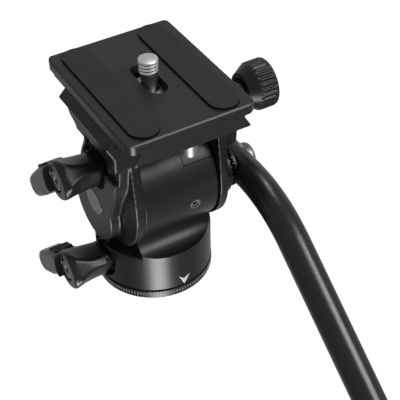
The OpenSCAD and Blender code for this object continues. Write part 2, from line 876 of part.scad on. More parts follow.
module hub() {
    rim_z = hub_length - hub_rim;
    bar = running_play;
    cylinder(r = hub_foot_r, h = hub_foot + overrun, $fn = fine);
    hull() {
        hub_slice(hub_foot, hub_foot_share, bar);
        hub_slice(hub_waist, hub_waist_share, bar);
    }
    hull() {
        hub_slice(hub_waist, hub_waist_share, bar);
        hub_slice(rim_z, hub_end_share, hub_rim - rib_r / 2);
        translate([0, 0, hub_length - rib_r])
        linear_extrude(rib_r)
        polygon([for (p = hub_end_share) p * (hub_end_r - rib_r / 2)]);
    }
}

// Outline of the tab, as shares of tab_reach and hub_end_r. Its ribs are on the upper side.
tab_share = [[0, -0.76], [0.22, -0.79], [0.52, -0.78], [0.8, -0.64], [1.066, -0.497], [0.98, 0.66], [0.68, 0.63], [0.4, 0.8],
    [0, 0.8]];
rib_share = [0.29, 0.81];

module tab_outline() {
    bulb_y = tab_end_r / 9;
    difference() {
        union() {
            polygon([for (p = tab_share) [p[0] * tab_reach, p[1] * hub_end_r]]);
            translate([tab_reach, bulb_y])
            circle(r = tab_end_r, $fn = fine);
        }
        translate([0.36 * tab_reach, scoop_rest + scoop_r])
        circle(r = scoop_r, $fn = fine * 2);
    }
}

module lever() {
    tab_z = hub_length + tab_overhang - tab_width;
    color(dark)
    difference() {
        union() {
            hub();
            translate([0, 0, tab_z])
            linear_extrude(tab_width)
            tab_outline();
            for (i = [0 : tab_ribs_n - 1])
                translate([rib_share[0] * tab_reach + i * rib_pitch, -rib_share[1] * hub_end_r, tab_z + rib_r])
                cylinder(r = rib_r, h = tab_width - 3 * rib_r, $fn = small);
        }
        spline(-overrun, spline_length + running_play, running_play);
        translate([0, 0, -overrun])
        cylinder(r = lever_screw_r + passing_gap, h = hub_length + 2 * overrun, $fn = small * 2);
        translate([0, 0, spline_length + running_play + lever_wall])
        cylinder(r = spring_chamber_r, h = 2 * hub_length, $fn = small * 2);
        translate([0, 0, hub_length])
        cylinder(r = hub_end_r - hub_rim, h = hub_length, $fn = fine);
    }
}

pan_stud_reach = pan_shoe_x0 - pan_foot_x - 2 * running_play;
tilt_stud_reach = tilt_shoe_x0 - tilt_foot_x - 2 * running_play;

module pan_lock_stud() {
    at_pan_lever()
    lock_stud(pan_stud_reach);
}

module pan_lever_spring() {
    at_pan_lever()
    lever_spring();
}

module pan_lever_screw() {
    at_pan_lever()
    lever_screw(pan_stud_reach);
}

module pan_lever() {
    at_pan_lever()
    lever();
}

module tilt_lock_stud() {
    at_tilt_lever()
    lock_stud(tilt_stud_reach);
}

module tilt_lever_spring() {
    at_tilt_lever()
    lever_spring();
}

module tilt_lever_screw() {
    at_tilt_lever()
    lever_screw(tilt_stud_reach);
}

module tilt_lever() {
    at_tilt_lever()
    lever();
}

// Yoke

// Outlines of the arms and the boss: shares of a radius about the tilt axis, or of platform_y0 or
// platform_y1 and platform_z0.
arm_front_share = [[1, 0], [0.99, 0.3]];
arm_back_share = [[0.886, 0.97], [0.62, 0.75]];
boss_front_share = [[0.754, 0.713], [0.853, 0.801], [0.916, 0.877], [0.974, 0.982], [0.99, 1.03]];
boss_back_share = [[0.2, 1.03], [0.14, 0.985], [0.27, 0.936], [0.4, 0.878], [0.42, 0.81], [0.62, 0.723]];

module arm_outline(r, front) {
    rim = platform_gap * 3;
    translate([0, tilt_z])
    circle(r = r, $fn = fine);
    polygon(concat([for (p = arm_front_share) [-r * p[0], tilt_z + r * p[1]]],
        [[front, platform_z0 - rim], [front, platform_z0 + rim], [platform_y1, platform_z0 + rim],
        [arm_back_share[0][0] * platform_y1, platform_z0],
        [arm_back_share[0][0] * platform_y1, tilt_z + r * 0.78], [r * 0.62, tilt_z + r * 0.75], [0, tilt_z]]));
}

module boss_outline(trim) {
    offset(delta = -trim) {
        translate([boss_y, boss_z])
        circle(r = boss_r, $fn = fine);
        polygon(concat([[boss_y - boss_r, boss_z + boss_r / 5]],
            [for (p = boss_front_share) [p[0] * platform_y0, p[1] * platform_z0]],
            [for (p = boss_back_share) [p[0] * platform_y1, p[1] * platform_z0]],
            [[boss_y + boss_r * 0.97, boss_z + boss_r / 4], [boss_y, boss_z]]));
    }
}

module yoke() {
    color(dark)
    difference() {
        union() {
            left_arm();
            right_arm();
            platform();
        }
        platform_opening();
        shaft_bores();
        lock_bore_tilt();
        jaw_bores();
        bolt_bore();
        side_plate_seat();
        jaw_back_cut();
        arm_back_cut();
    }
}

// The left arm's rim stops behind the boss: shares of left_disc_r about the tilt axis.
arm_rim_share = [[0.64, 0.457], [0.73, 0.3], [0.838, 0.124], [0.924, -0.114], [1.05, -0.35]];

module arm_back_cut() {
    top_z = platform_z0 - platform_gap;
    slab_x(jaw_x0 - overrun, left_arm_inner + overrun)
    polygon(concat([[2 * platform_y1, top_z], [arm_back_share[0][0] * platform_y1, top_z]],
        [for (p = arm_rim_share) [p[0] * left_disc_r, tilt_z + p[1] * left_disc_r]],
        [[2 * platform_y1, tilt_z + arm_rim_share[4][1] * left_disc_r]]));
}

// The fixed jaw's back end rises in steps to the corner of the platform.
jaw_back_share = [[0.97, 0.45], [0.886, 0.3], [0.62, 0.13], [0.53, -0.1]];

module jaw_back_cut() {
    slab_x(jaw_x0 - overrun, left_arm_x)
    polygon(concat([[platform_y1 + overrun, platform_z0 - overrun], [platform_y1 + overrun, platform_z1 - overrun]],
        [for (p = jaw_back_share) [p[0] * platform_y1, platform_z0 + p[1] * platform_thick]]));
}

// Concave flank between the arm's rim and the foot of the boss, as shares of left_disc_r and cove_rise.
arm_cove_share = [[0.975, 0], [0.93, 0.16], [0.88, 0.38], [0.82, 0.68], [0.757, 1]];

module left_arm() {
    slab_x(left_arm_x, left_arm_inner)
    arm_outline(left_disc_r, platform_y0);
    slab_x(boss_x, left_arm_x + overrun)
    boss_outline(0);
    intersection() {
        translate([0, 0, tilt_z])
        turned_x(concat([[left_arm_x + overrun, 0], [left_arm_x + overrun, 0.975 * left_disc_r]],
            [for (p = arm_cove_share) [left_arm_x - p[1] * arm_cove, p[0] * left_disc_r]], [[left_arm_x - arm_cove, 0]]));
        slab_x(boss_x, left_arm_x + overrun)
        arm_outline(left_disc_r, platform_y0);
    }
}

module right_arm() {
    block_slope = block_depth / 2.7;
    slab_x(right_arm_inner, right_arm_x)
    arm_outline(right_disc_r, platform_y0);
    intersection() {
        slab_x(right_arm_x - overrun, block_x)
        polygon([[block_y0, platform_z0], [block_y0, block_z + block_slope], [block_y0 + block_slope, block_z],
            [block_slope, block_z], [platform_y1 - block_slope, block_z + block_slope],
            [platform_y1 - block_slope / 2, platform_z0]]);
        translate([0, platform_y1, 0])
        rotate([90, 0, 0])
        linear_extrude(platform_y1 - platform_y0)
        polygon([[right_arm_x - overrun, block_z], [block_x - block_slope / 4, block_z], [block_x, platform_z0],
            [right_arm_x - overrun, platform_z0]]);
    }
    translate([0, bolt_y, handle_z])
    bar_x(right_arm_x - overrun, yoke_rosette_x - seat_play, rosette_boss_r, fine);
}

// One dovetail jaw's profile from its outer flank to the platform's top, for the side with the foot at x.
function jaw_lip(out_x, gap) = [[out_x, platform_z1], [out_x - (out_x - throat_half) * 0.37, lip_z],
    [throat_half + gap * 16, throat_z], [throat_half + gap, throat_z + gap * 3], [throat_half + gap, throat_z],
    [foot_half + gap, foot_z]];

module platform() {
    inner_x = -left_arm_x + side_plate_thick * 4;
    flank = (-jaw_x0 - throat_half) * 0.43;
    block([-inner_x, platform_y0, platform_z0], [platform_x1, platform_y1, platform_z1]);
    translate([0, platform_y1, 0])
    rotate([90, 0, 0])
    linear_extrude(platform_y1 - platform_y0)
    mirror([1, 0])
    polygon(concat([[inner_x, platform_z0], [-jaw_x0 - flank, platform_z0], [-jaw_x0 - flank, platform_z0 + platform_thick / 2]],
        jaw_lip(-jaw_x0, jaw_play), [[foot_half + jaw_play, platform_z1 - overrun], [inner_x, platform_z1 - overrun]]));
}

module platform_opening() {
    block([-opening_half, opening_y0, platform_z0 - overrun], [opening_half, opening_y1, platform_z1 + overrun]);
}

module shaft_bores() {
    translate([0, 0, tilt_z]) {
        bar_x(boss_x - overrun, right_arm_x - passing_gap / 2, shaft_r + seat_play, fine);
        bar_x(boss_x - overrun, shaft_x0 + shaft_head_thick, shaft_head_r + seat_play, fine);
    }
}

module lock_bore_tilt() {
    translate([0, tilt_lock_y, tilt_lock_z]) {
        bar_x(tilt_shoe_x0 - passing_gap, left_arm_inner + overrun, shoe_r + running_play, fine);
        bar_x(boss_x - overrun, tilt_shoe_x0, stud_r + running_play, fine);
    }
    lever_recess(tilt_foot_x + passing_gap, 0);
}

// Recess round the tilt lever's foot, with a shallower channel to the front.
module lever_recess(floor_x, grow) {
    translate([0, tilt_lock_y, tilt_lock_z])
    bar_x(boss_x - overrun, floor_x, lever_recess_r + grow, fine);
    block([boss_x - overrun, platform_y0 - overrun, channel_z0 - grow],
        [boss_x + channel_depth, tilt_lock_y, channel_z1 + grow]);
}

module bolt_bore() {
    translate([0, bolt_y, handle_z])
    bar_x(right_arm_inner - overrun, yoke_rosette_x + overrun, bolt_r + running_play, fine);
}

module jaw_bores() {
    translate([0, knob_y, knob_z])
    bar_x(platform_x1 - clamp_reach - passing_gap * 3, platform_x1 + overrun, clamp_r + running_play, fine);
    at_guide_pins()
    bar_x(platform_x1 - clamp_reach, platform_x1 + overrun, guide_r + seat_play, small * 2);
}

module at_guide_pins() {
    for (y = [knob_y - 2.4 * clamp_r, platform_y1 - 2.4 * clamp_r])
        translate([0, y, knob_z])
        children();
}

module side_plate_seat() {
    rim = 0.6;
    slab_x(boss_x - overrun, boss_x + side_plate_thick)
    boss_outline(rim);
}

module side_plate() {
    rim = 0.6;
    color([0.3, 0.3, 0.31])
    difference() {
        slab_x(boss_x, boss_x + side_plate_thick - seat_play)
        boss_outline(rim + seat_play * 3);
        lever_recess(boss_x + side_plate_thick + overrun, 4 * seat_play);
        block([boss_x - overrun, -2 * pan_r, channel_z0], [0, 2 * pan_r, platform_z1]);
    }
}

module tilt_shaft() {
    color(steel)
    translate([0, 0, tilt_z]) {
        bar_x(shaft_x0, shaft_x0 + shaft_head_thick - seat_play, shaft_head_r, fine);
        bar_x(shaft_x0, right_arm_x - passing_gap, shaft_r, fine);
    }
}

module jaw_guide_pins() {
    color(steel)
    at_guide_pins()
    bar_x(platform_x1 - clamp_reach + seat_play, platform_x1 + guide_reach, guide_r, small * 2);
}

// One rosette face, teeth standing up in +Z from z 0.
module rosette_teeth() {
    inner = bolt_r + 1.6;
    pitch_half = rosette_r * sin(180 / teeth_n);
    for (i = [0 : teeth_n - 1])
        rotate([0, 0, i * 360 / teeth_n])
        translate([inner, 0, 0])
        rotate([90, 0, 90])
        linear_extrude(rosette_r - inner - 8 * seat_play)
        polygon([[-pitch_half / 2, -seat_play], [pitch_half / 2, -seat_play], [0, tooth_height]]);
}

rosette_disc = 2 * washer_thick;
rosette_x = handle_x - eye_half - rosette_disc;
yoke_rosette_x = rosette_x - tooth_gap - 2 * tooth_height - rosette_disc;

module yoke_rosette() {
    color(steel)
    translate([yoke_rosette_x, bolt_y, handle_z])
    difference() {
        union() {
            bar_x(0, rosette_disc, rosette_r, fine);
            translate([rosette_disc, 0, 0])
            rotate([0, 90, 0])
            rosette_teeth();
        }
        bar_x(-overrun, rosette_disc + tooth_height + overrun, bolt_r + running_play, fine);
    }
}

module handle_rosette() {
    color(steel)
    translate([rosette_x - seat_play, bolt_y, handle_z])
    difference() {
        union() {
            bar_x(0, rosette_disc, rosette_r, fine);
            rotate([180 / teeth_n, 0, 0])
            rotate([0, -90, 0])
            rosette_teeth();
        }
        bar_x(-tooth_height - overrun, rosette_disc + overrun, bolt_r + seat_play, fine);
    }
}

// Moving jaw, clamp screw and knob

module moving_jaw() {
    x0 = platform_x1 + seat_play;
    z0 = platform_z0 + passing_gap;
    back = platform_y1 - side_plate_thick;
    color(dark)
    difference() {
        translate([0, back, 0])
        rotate([90, 0, 0])
        linear_extrude(back - block_y0)
        polygon(concat([[x0, z0], [jaw_x1 - side_plate_thick, z0], [jaw_x1, platform_z0 + platform_thick / 2]],
            jaw_lip(jaw_x1, jaw_play), [[foot_half + jaw_play, platform_z1 + seat_play], [x0, platform_z1 + seat_play]]));
        translate([0, knob_y, knob_z])
        bar_x(platform_x1 - overrun, jaw_x1 + overrun, clamp_r + running_play, fine);
        at_guide_pins()
        bar_x(platform_x1 - overrun, platform_x1 + guide_reach + passing_gap, guide_r + running_play, small * 2);
    }
}

module clamp_screw() {
    color(steel)
    translate([0, knob_y, knob_z]) {
        bar_x(platform_x1 - clamp_reach, knob_x1 - knob_rim, clamp_r, fine);
    }
}

module jaw_knob() {
    x0 = knob_x0;
    cone_x = knob_x1 - knob_rim;
    edge = knob_rim / 6;
    color(dark)
    translate([0, knob_y, knob_z])
    difference() {
        union() {
            turned_x([[x0 + knob_recess, 0], [x0 + knob_recess, knob_recess_r], [x0, knob_recess_r], [x0, knob_nose_r],
                [cone_x, knob_r], [knob_x1 - edge, knob_r], [knob_x1 - edge / 2, knob_r - edge / 6],
                [knob_x1 - edge / 8, knob_r - edge / 2], [knob_x1, knob_r - edge], [knob_x1, 0]]);
            bar_x(jaw_x1 + running_play, cone_x, collar_r, fine);
        }
        for (i = [0 : knob_flutes_n - 1])
            rotate([i * 360 / knob_flutes_n, 0, 0])
            translate([0, 0, knob_r + flute_r * 0.35])
            bar_x(x0 - overrun, knob_x1 + overrun, flute_r, 12);
        bar_x(jaw_x1 - overrun, cone_x + seat_play, clamp_r + seat_play, fine);
    }
}

// Quick release plate

module stadium(width, length) {
    for (s = [-1, 1])
        translate([0, s * (length - width) / 2])
        circle(d = width, $fn = small * 2);
    square([width, length - width], center = true);
}

module quick_release_plate() {
    half = plate_width / 2;
    y0 = plate_y - plate_length / 2;
    y1 = plate_y + plate_length / 2;
    color(dark)
    difference() {
        union() {
            intersection() {
                translate([0, y1, 0])
                rotate([90, 0, 0])
                linear_extrude(plate_length)
                polygon([[-half, slab_z], [-half, plate_z - plate_chamfer], [-half + plate_chamfer, plate_z],
                    [half - plate_chamfer, plate_z], [half, plate_z - plate_chamfer], [half, slab_z],
                    [throat_half, slab_z - 0.15], [throat_half, throat_z], [foot_half, foot_z],
                    [foot_half, platform_z1 + running_play * 2], [-foot_half, platform_z1 + running_play * 2],
                    [-foot_half, foot_z], [-throat_half, throat_z], [-throat_half, slab_z - 0.15]]);
                translate([0, plate_y, 0])
                plate_round();
                translate([-half - overrun, 0, 0])
                rotate([90, 0, 90])
                linear_extrude(plate_width + 2 * overrun)
                polygon([[y0, 0], [y0, plate_z - plate_chamfer], [y0 + plate_chamfer, plate_z + 0.001],
                    [y1 - plate_chamfer, plate_z + 0.001], [y1, plate_z - plate_chamfer], [y1, 0]]);
            }
        }
        for (s = [-1, 1])
            translate([s * pad_x, plate_y, plate_z - pad_depth])
            linear_extrude(pad_depth + overrun)
            stadium(pad_width + 2 * seat_play, pad_length + 2 * seat_play);
        translate([slot_x, plate_y, slab_z - overrun])
        linear_extrude(slab_thick + 2 * overrun)
        stadium(slot_width, slot_length);
        block([-channel_half, channel_y0, platform_z1 - overrun], [channel_half, y1 + overrun, slab_z]);
        for (y = stop_y)
            translate([0, y, platform_z1 - overrun])
            cylinder(r = stop_shank_r + seat_play, h = slab_z - platform_z1 + slab_thick / 2 + overrun, $fn = small);
    }
}

module plate_round() {
    half = plate_width / 2;
    linear_extrude(plate_z + overrun)
    union() {
        for (sx = [-1, 1])
            for (sy = [-1, 1])
                translate([sx * (half - plate_corner), sy * (plate_length / 2 - plate_corner)])
                circle(r = plate_corner, $fn = small * 2);
        square([plate_width - 2 * plate_corner, plate_length], center = true);
        square([plate_width, plate_length - 2 * plate_corner], center = true);
    }
}

module pad(side) {
    color(rubber)
    translate([side * pad_x, plate_y, plate_z - pad_depth])
    linear_extrude(pad_depth + pad_rise)
    stadium(pad_width, pad_length);
}

module pad_left() {
    pad(-1);
}

module pad_right() {
    pad(1);
}

module plate_stop_pins() {
    color(steel) {
        translate([0, stop_y[0], platform_z1 + running_play * 2 - stop_length])
        cylinder(r = stop_r, h = stop_length - seat_play, $fn = small * 2);
        translate([0, stop_y[0], platform_z1 - overrun])
        cylinder(r = stop_shank_r, h = slab_z - platform_z1 + slab_thick / 2, $fn = small);
        translate([0, stop_y[1], platform_z1 + running_play * 2 - stop_length])
        cylinder(r = stop_r, h = slab_z - platform_z1 - running_play * 2 + stop_length - seat_play, $fn = small * 2);
        translate([0, stop_y[1], platform_z1 - overrun])
        cylinder(r = stop_shank_r, h = slab_z - platform_z1 + slab_thick / 2, $fn = small);
    }
}

module screw_clip() {
    color(steel)
    difference() {
        block([-channel_half + running_play, camera_y - clip_length / 2, clip_z0],
            [channel_half - running_play, camera_y + clip_length / 2, clip_z1]);
        translate([slot_x, camera_y, clip_z0 - overrun])
        cylinder(r = camera_r + running_play, h = clip_thick + 2 * overrun, $fn = fine);
    }
}

module camera_screw() {
    head_z1 = clip_z0 - running_play;
    head_z0 = head_z1 - camera_head_thick;
    tip = 0.7;
    color(steel)
    translate([slot_x, camera_y, 0])
    difference() {
        rotate_extrude($fn = fine)
        polygon([[0, head_z0], [camera_head_r, head_z0], [camera_head_r, head_z1], [camera_neck_r, head_z1],
            [camera_neck_r, camera_thread_z], [camera_r, camera_thread_z], [camera_r, camera_top_z - tip],
            [camera_r - tip, camera_top_z], [0, camera_top_z]]);
        translate([-coin_slot / 2, -camera_head_r - overrun, head_z0 - overrun])
        cube([coin_slot, 2 * (camera_head_r + overrun), camera_head_thick / 2 + overrun]);
    }
}

// Handle, drawn with the bolt at the origin and the tube running toward -Y

module along_handle() {
    translate([handle_x, bolt_y - bend_start, handle_z])
    children();
}

module after_bend(reach) {
    along_handle()
    translate([0, -bend_r * sin(bend_angle), -bend_r * (1 - cos(bend_angle))])
    rotate([bend_angle, 0, 0])
    translate([0, -reach, 0])
    rotate([90, 0, 0])
    children();
}

module handle_tube() {
    eye_r = 7;
    color(dark)
    difference() {
        union() {
            translate([handle_x, bolt_y, handle_z])
            intersection() {
                translate([0, eye_r + overrun, 0])
                rotate([90, 0, 0])
                cylinder(r = tube_r, h = eye_r + bend_start + 2 * overrun, $fn = fine);
                union() {
                    bar_x(-eye_r, eye_r, eye_r, fine);
                    block([-eye_r, -bend_start - 2 * overrun, -eye_r], [eye_r, 0, eye_r]);
                }
            }
            bend();
            after_bend(-overrun)
            cylinder(r = tube_r, h = tube_length + overrun, $fn = fine);
        }
        block([handle_x - 2 * tube_r, bolt_y - rosette_r - passing_gap, handle_z - 2 * tube_r],
            [handle_x - eye_half, bolt_y + 2 * eye_r, handle_z + 2 * tube_r]);
        after_bend(0)
        translate([0, 0, tube_wall])
        cylinder(r = tube_r - tube_wall, h = tube_length, $fn = fine);
        translate([0, bolt_y, handle_z]) {
            bar_x(handle_x - 2 * tube_r, handle_x + 2 * tube_r, bolt_r + running_play, fine);
            bar_x(handle_x + tube_r - bolt_head, handle_x + 2 * tube_r, bolt_head_r + running_play, fine);
        }
    }
}

// The bend necks by the play of a seat, and the straight lengths run a little into it.
module bend() {
    along_handle()
    translate([0, 0, -bend_r])
    rotate([0, 0, 180])
    rotate([0, -90, 0])
    rotate_extrude(angle = bend_angle, $fn = fine * 2)
    translate([bend_r, 0])
    circle(r = tube_r - seat_play, $fn = small * 2);
}

module handle_bolt() {
    x1 = handle_x + tube_r + bolt_stand;
    dome = bolt_head / 2;
    color(steel)
    translate([0, bolt_y, handle_z])
    difference() {
        union() {
            bar_x(right_arm_inner + passing_gap, x1, bolt_r, fine);
            turned_x([[x1 - bolt_head, 0], [x1 - bolt_head, bolt_head_r], [x1 - dome, bolt_head_r],
                [x1 - dome * 0.6, bolt_head_r * 0.97], [x1 - dome * 0.27, bolt_head_r * 0.9],
                [x1 - dome * 0.07, bolt_head_r * 0.8], [x1, bolt_head_r * 0.68], [x1, 0]]);
        }
        bar_x(x1 - bolt_head / 2, x1 + overrun, bolt_r, 6);
    }
}

module bolt_washer() {
    x1 = handle_x + tube_r + bolt_stand - bolt_head - seat_play;
    color(steel)
    translate([0, bolt_y, handle_z])
    ring_x(x1 - bolt_stand + 2 * seat_play, x1, bolt_head_r, bolt_r + seat_play);
}

module handle_grip() {
    start = tube_length - grip_length;
    soft = 2.5;
    color(rubber)
    after_bend(start)
    difference() {
        rotate_extrude($fn = small * 2)
        polygon([[0, 0], [grip_collar_r - soft, 0], [grip_collar_r, soft], [grip_collar_r, 3 * soft],
            [grip_r, 8 * soft], [grip_r, grip_length - soft], [grip_r - soft / 2, grip_length], [0, grip_length]]);
        translate([0, 0, -overrun])
        cylinder(r = tube_r + seat_play, h = grip_length + 2 * overrun, $fn = fine);
    }
}

module grip_cap() {
    lip = 3;
    color(dark)
    after_bend(tube_length + seat_play) {
        cylinder(r = grip_r - 1, h = lip, $fn = small * 2);
        translate([0, 0, -lip])
        cylinder(r = tube_r - tube_wall - seat_play, h = lip + overrun, $fn = small * 2);
    }
}

base_plate();
thread_insert();
pan_spindle();
base_screws();
pan_thrust_washer();
spindle_nut();
pan_body();
pan_bush_lower();
pan_bush_upper();
damper_cup();
housing_cover();
tilt_bush_left();
tilt_bush_right();
barrel_cover();
barrel_set_screw();
pan_brake_shoe();
pan_lock_stud();
pan_lever_spring();
pan_lever_screw();
pan_lever();
yoke();
tilt_shaft();
side_plate();
damper_rotor();
yoke_rosette();
jaw_guide_pins();
tilt_brake_shoe();
tilt_lock_stud();
tilt_lever_spring();
tilt_lever_screw();
tilt_lever();
moving_jaw();
jaw_knob();
clamp_screw();
quick_release_plate();
pad_left();
pad_right();
plate_stop_pins();
screw_clip();
camera_screw();
handle_tube();
handle_rosette();
handle_bolt();
bolt_washer();
handle_grip();
grip_cap();
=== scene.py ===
# %% [markdown]
# # A fluid video head, dressed for a product picture
#
# The head is a small tripod head for a camera. Its castings, levers, plate and handle come from
# the CAD model, which is loaded as a fixed frame. This lesson gives each piece its finish, adds the
# fine forms that a caster, a turner and a painter would leave on it, and lights it in a white
# studio.

# %% Load the frame
import json
import math

import bmesh
import bpy
from mathutils import Matrix, Vector


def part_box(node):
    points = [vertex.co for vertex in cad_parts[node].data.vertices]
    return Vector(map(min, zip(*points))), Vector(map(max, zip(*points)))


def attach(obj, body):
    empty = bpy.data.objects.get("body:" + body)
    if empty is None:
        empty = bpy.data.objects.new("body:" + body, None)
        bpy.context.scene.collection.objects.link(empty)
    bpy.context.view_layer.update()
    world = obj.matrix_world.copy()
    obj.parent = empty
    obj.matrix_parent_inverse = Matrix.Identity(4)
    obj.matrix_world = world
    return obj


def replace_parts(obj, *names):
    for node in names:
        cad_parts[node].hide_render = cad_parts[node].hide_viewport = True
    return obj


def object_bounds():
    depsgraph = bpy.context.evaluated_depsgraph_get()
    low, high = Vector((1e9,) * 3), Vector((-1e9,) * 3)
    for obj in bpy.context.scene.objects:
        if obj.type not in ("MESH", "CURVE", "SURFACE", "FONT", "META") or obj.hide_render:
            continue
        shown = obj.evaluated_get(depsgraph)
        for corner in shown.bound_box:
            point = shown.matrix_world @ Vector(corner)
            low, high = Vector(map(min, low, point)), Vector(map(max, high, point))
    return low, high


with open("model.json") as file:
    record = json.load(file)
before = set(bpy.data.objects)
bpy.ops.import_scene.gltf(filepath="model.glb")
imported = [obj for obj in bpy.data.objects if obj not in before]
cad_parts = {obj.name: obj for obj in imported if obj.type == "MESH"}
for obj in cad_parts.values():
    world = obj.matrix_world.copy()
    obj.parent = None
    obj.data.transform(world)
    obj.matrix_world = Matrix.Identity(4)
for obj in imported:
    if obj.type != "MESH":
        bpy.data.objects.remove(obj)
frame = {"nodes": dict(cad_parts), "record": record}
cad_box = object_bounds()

mm = 0.001
nodes = frame["nodes"]
scene = bpy.context.scene

# %% [markdown]
# ## The camera
#
# The picture is taken from above, in front and to the left of the head, with a long lens, so that
# upright edges lean together only a little. The place was worked out from the four corners of the
# plate, whose real size is known. A camera looks along its own -Z axis, so it is aimed with
# `to_track_quat`, and a small roll about that axis levels the plate as in the picture.

# %% Place the camera
camera_place = Vector((-128.18, -259.04, 274.06)) * mm
camera_target = Vector((6.75, -21.6, 40.0)) * mm
camera_roll = math.radians(-1.27)
camera_lens = 100.69
camera_sensor = 36.0
camera_near = 10 * mm

camera_data = bpy.data.cameras.new("studio_camera")
camera_data.sensor_width = camera_sensor
camera_data.lens = camera_lens
camera_data.clip_start = camera_near
camera = bpy.data.objects.new("studio_camera", camera_data)
aim = (camera_target - camera_place).to_track_quat("-Z", "Y").to_matrix().to_4x4()
camera.matrix_world = Matrix.Translation(camera_place) @ aim @ Matrix.Rotation(camera_roll, 4, "Z")
scene.collection.objects.link(camera)
scene.camera = camera
scene.view_settings.view_transform = "Standard"
print("camera distance", round((camera_target - camera_place).length, 3), "m")

# %% [markdown]
# ## Shader maths as Python
#
# A material in Blender is a graph of nodes. Wiring it by hand hides the idea behind it, so a small
# class, `Wire`, stands for one value in the graph and turns `1 - mask` or `a * b` into Math nodes.
# `Finish` is one material: its method `node` adds any other node, by its type, its settings and the
# values or links of its sockets. An underscore in a socket's name stands for a space.


# %% Values that can be added and multiplied
class Wire:
    """One value on its way through the nodes of a finish."""

    def __init__(self, finish, socket):
        self.finish = finish
        self.socket = socket

    def maths(self, operation, *values):
        return self.finish.node("Math", {"operation": operation}, numbered=dict(enumerate(values)))

    def __add__(self, other):
        return self.maths("ADD", self, other)

    __radd__ = __add__

    def __sub__(self, other):
        return self.maths("SUBTRACT", self, other)

    def __rsub__(self, other):
        return self.maths("SUBTRACT", other, self)

    def __mul__(self, other):
        return self.maths("MULTIPLY", self, other)

    __rmul__ = __mul__

    def clamp(self):
        return self.finish.node("Clamp", {}, Value=self)


# %% One finish, and the method that adds its nodes
# A Mix node of colours has its factor, its two colours and its result at these sockets.
mix_factor, mix_low, mix_high, mix_result = 0, 6, 7, 2


class Finish:
    """A material built around Blender's Principled shader."""

    def __init__(self, name, **constants):
        self.material = bpy.data.materials.new(name)
        self.material.use_nodes = True
        self.tree = self.material.node_tree
        self.surface = self.tree.nodes["Principled BSDF"]
        self.set(**constants)

    def feed(self, socket, value):
        """Links a value to a socket, or sets it there if it is a constant."""
        if isinstance(value, Wire):
            self.tree.links.new(value.socket, socket)
        else:
            socket.default_value = value

    def node(self, kind, settings, numbered=None, output=0, **named):
        """Adds a node, sets it up and feeds it, and gives one of its outputs."""
        made = self.tree.nodes.new("ShaderNode" + kind)
        for setting, value in settings.items():
            setattr(made, setting, value)
        for index, value in (numbered or {}).items():
            self.feed(made.inputs[index], value)
        for socket, value in named.items():
            self.feed(made.inputs[socket.replace("_", " ")], value)
        return Wire(self, made.outputs[output])

    def set(self, **sockets):
        """Sets or links sockets of the shader itself."""
        for socket, value in sockets.items():
            self.feed(self.surface.inputs[socket.replace("_", " ")], value)

    def place(self, stretch=(1, 1, 1), turned=(0, 0, 0)):
        """Object coordinates, turned and stretched so that a pattern runs along an axis."""
        seat = self.node("TexCoord", {}, output="Object")
        return self.node("Mapping", {}, Vector=seat, Rotation=turned, Scale=stretch)

    def noise(self, place, size, detail):
        """A cloudy pattern from 0 to 1, whose features are about that size."""
        return self.node("TexNoise", {}, Vector=place, Scale=1 / size, Detail=detail)

    def blend(self, mask, low, high):
        """A colour between two, by a mask from 0 to 1."""
        sockets = {mix_factor: mask, mix_low: low, mix_high: high}
        return self.node("Mix", {"data_type": "RGBA"}, numbered=sockets, output=mix_result)


def grey(level):
    return (level, level, level, 1.0)


# %% [markdown]
# ## The studio
#
# The background is white paper, and the world is white too. Light Path tells which rays see them:
# straight from the camera they are white, in gloss the paper is a little darker, and what they
# send to the head as plain light stays low. The paper lies well below the head, because one lamp
# stands between the two.

# %% The paper floor
floor_drop = 600 * mm
floor_half = 4.0
floor_cells = 4
floor_z = cad_box[0][2] - floor_drop

floor_mesh = bmesh.new()
bmesh.ops.create_grid(floor_mesh, x_segments=floor_cells, y_segments=floor_cells, size=floor_half)
bmesh.ops.translate(floor_mesh, verts=floor_mesh.verts, vec=(0, 0, floor_z))
floor_data = bpy.data.meshes.new("floor")
floor_mesh.to_mesh(floor_data)
floor_mesh.free()
floor = bpy.data.objects.new("floor", floor_data)
scene.collection.objects.link(floor)
print("floor at", round(floor_z / mm, 1), "mm")


# %% White for the camera, and a darker paper for the gloss
def camera_rays(finish):
    """1 for the rays that go straight from the camera to the background."""
    return finish.node("LightPath", {}, output="Is Camera Ray")


def mirror_rays(finish):
    """1 for the rays that see the background in gloss, metal or glass."""
    glossy_ray = finish.node("LightPath", {}, output="Is Glossy Ray")
    through_ray = finish.node("LightPath", {}, output="Is Transmission Ray")
    return (glossy_ray + through_ray).clamp()


class Sky(Finish):
    """The world, built with the same methods as a finish."""

    def __init__(self, used):
        self.tree = used.node_tree
        self.surface = used.node_tree.nodes["Background"]


paper_level = 0.86
paper_lift = 0.62
paper_mirror_lift = 0.28
paper = Finish("paper", Base_Color=grey(paper_level), Roughness=0.9)
paper.set(
    Emission_Color=grey(1.0),
    Emission_Strength=camera_rays(paper) * paper_lift + mirror_rays(paper) * paper_mirror_lift,
)
floor_data.materials.append(paper.material)

fill_level = 0.4
world = bpy.data.worlds.new("white_studio")
world.use_nodes = True
scene.world = world
sky = Sky(world)
seen_rays = (camera_rays(sky) + mirror_rays(sky)).clamp()
sky.set(Color=grey(1.0), Strength=fill_level + (1 - fill_level) * seen_rays)
print("paper lift", paper_lift, "fill level", fill_level)

# %% [markdown]
# ## The lamps
#
# A black object shows its shape by what it mirrors. One soft box high in front lights it plainly,
# and the other lamps light its gloss alone. The camera looks down at about forty degrees, so an
# upright wall mirrors what lies forty degrees below it: a lamp down there draws the bright band on
# the pan drum and along the handle tube. A thin strip stands high behind the head.


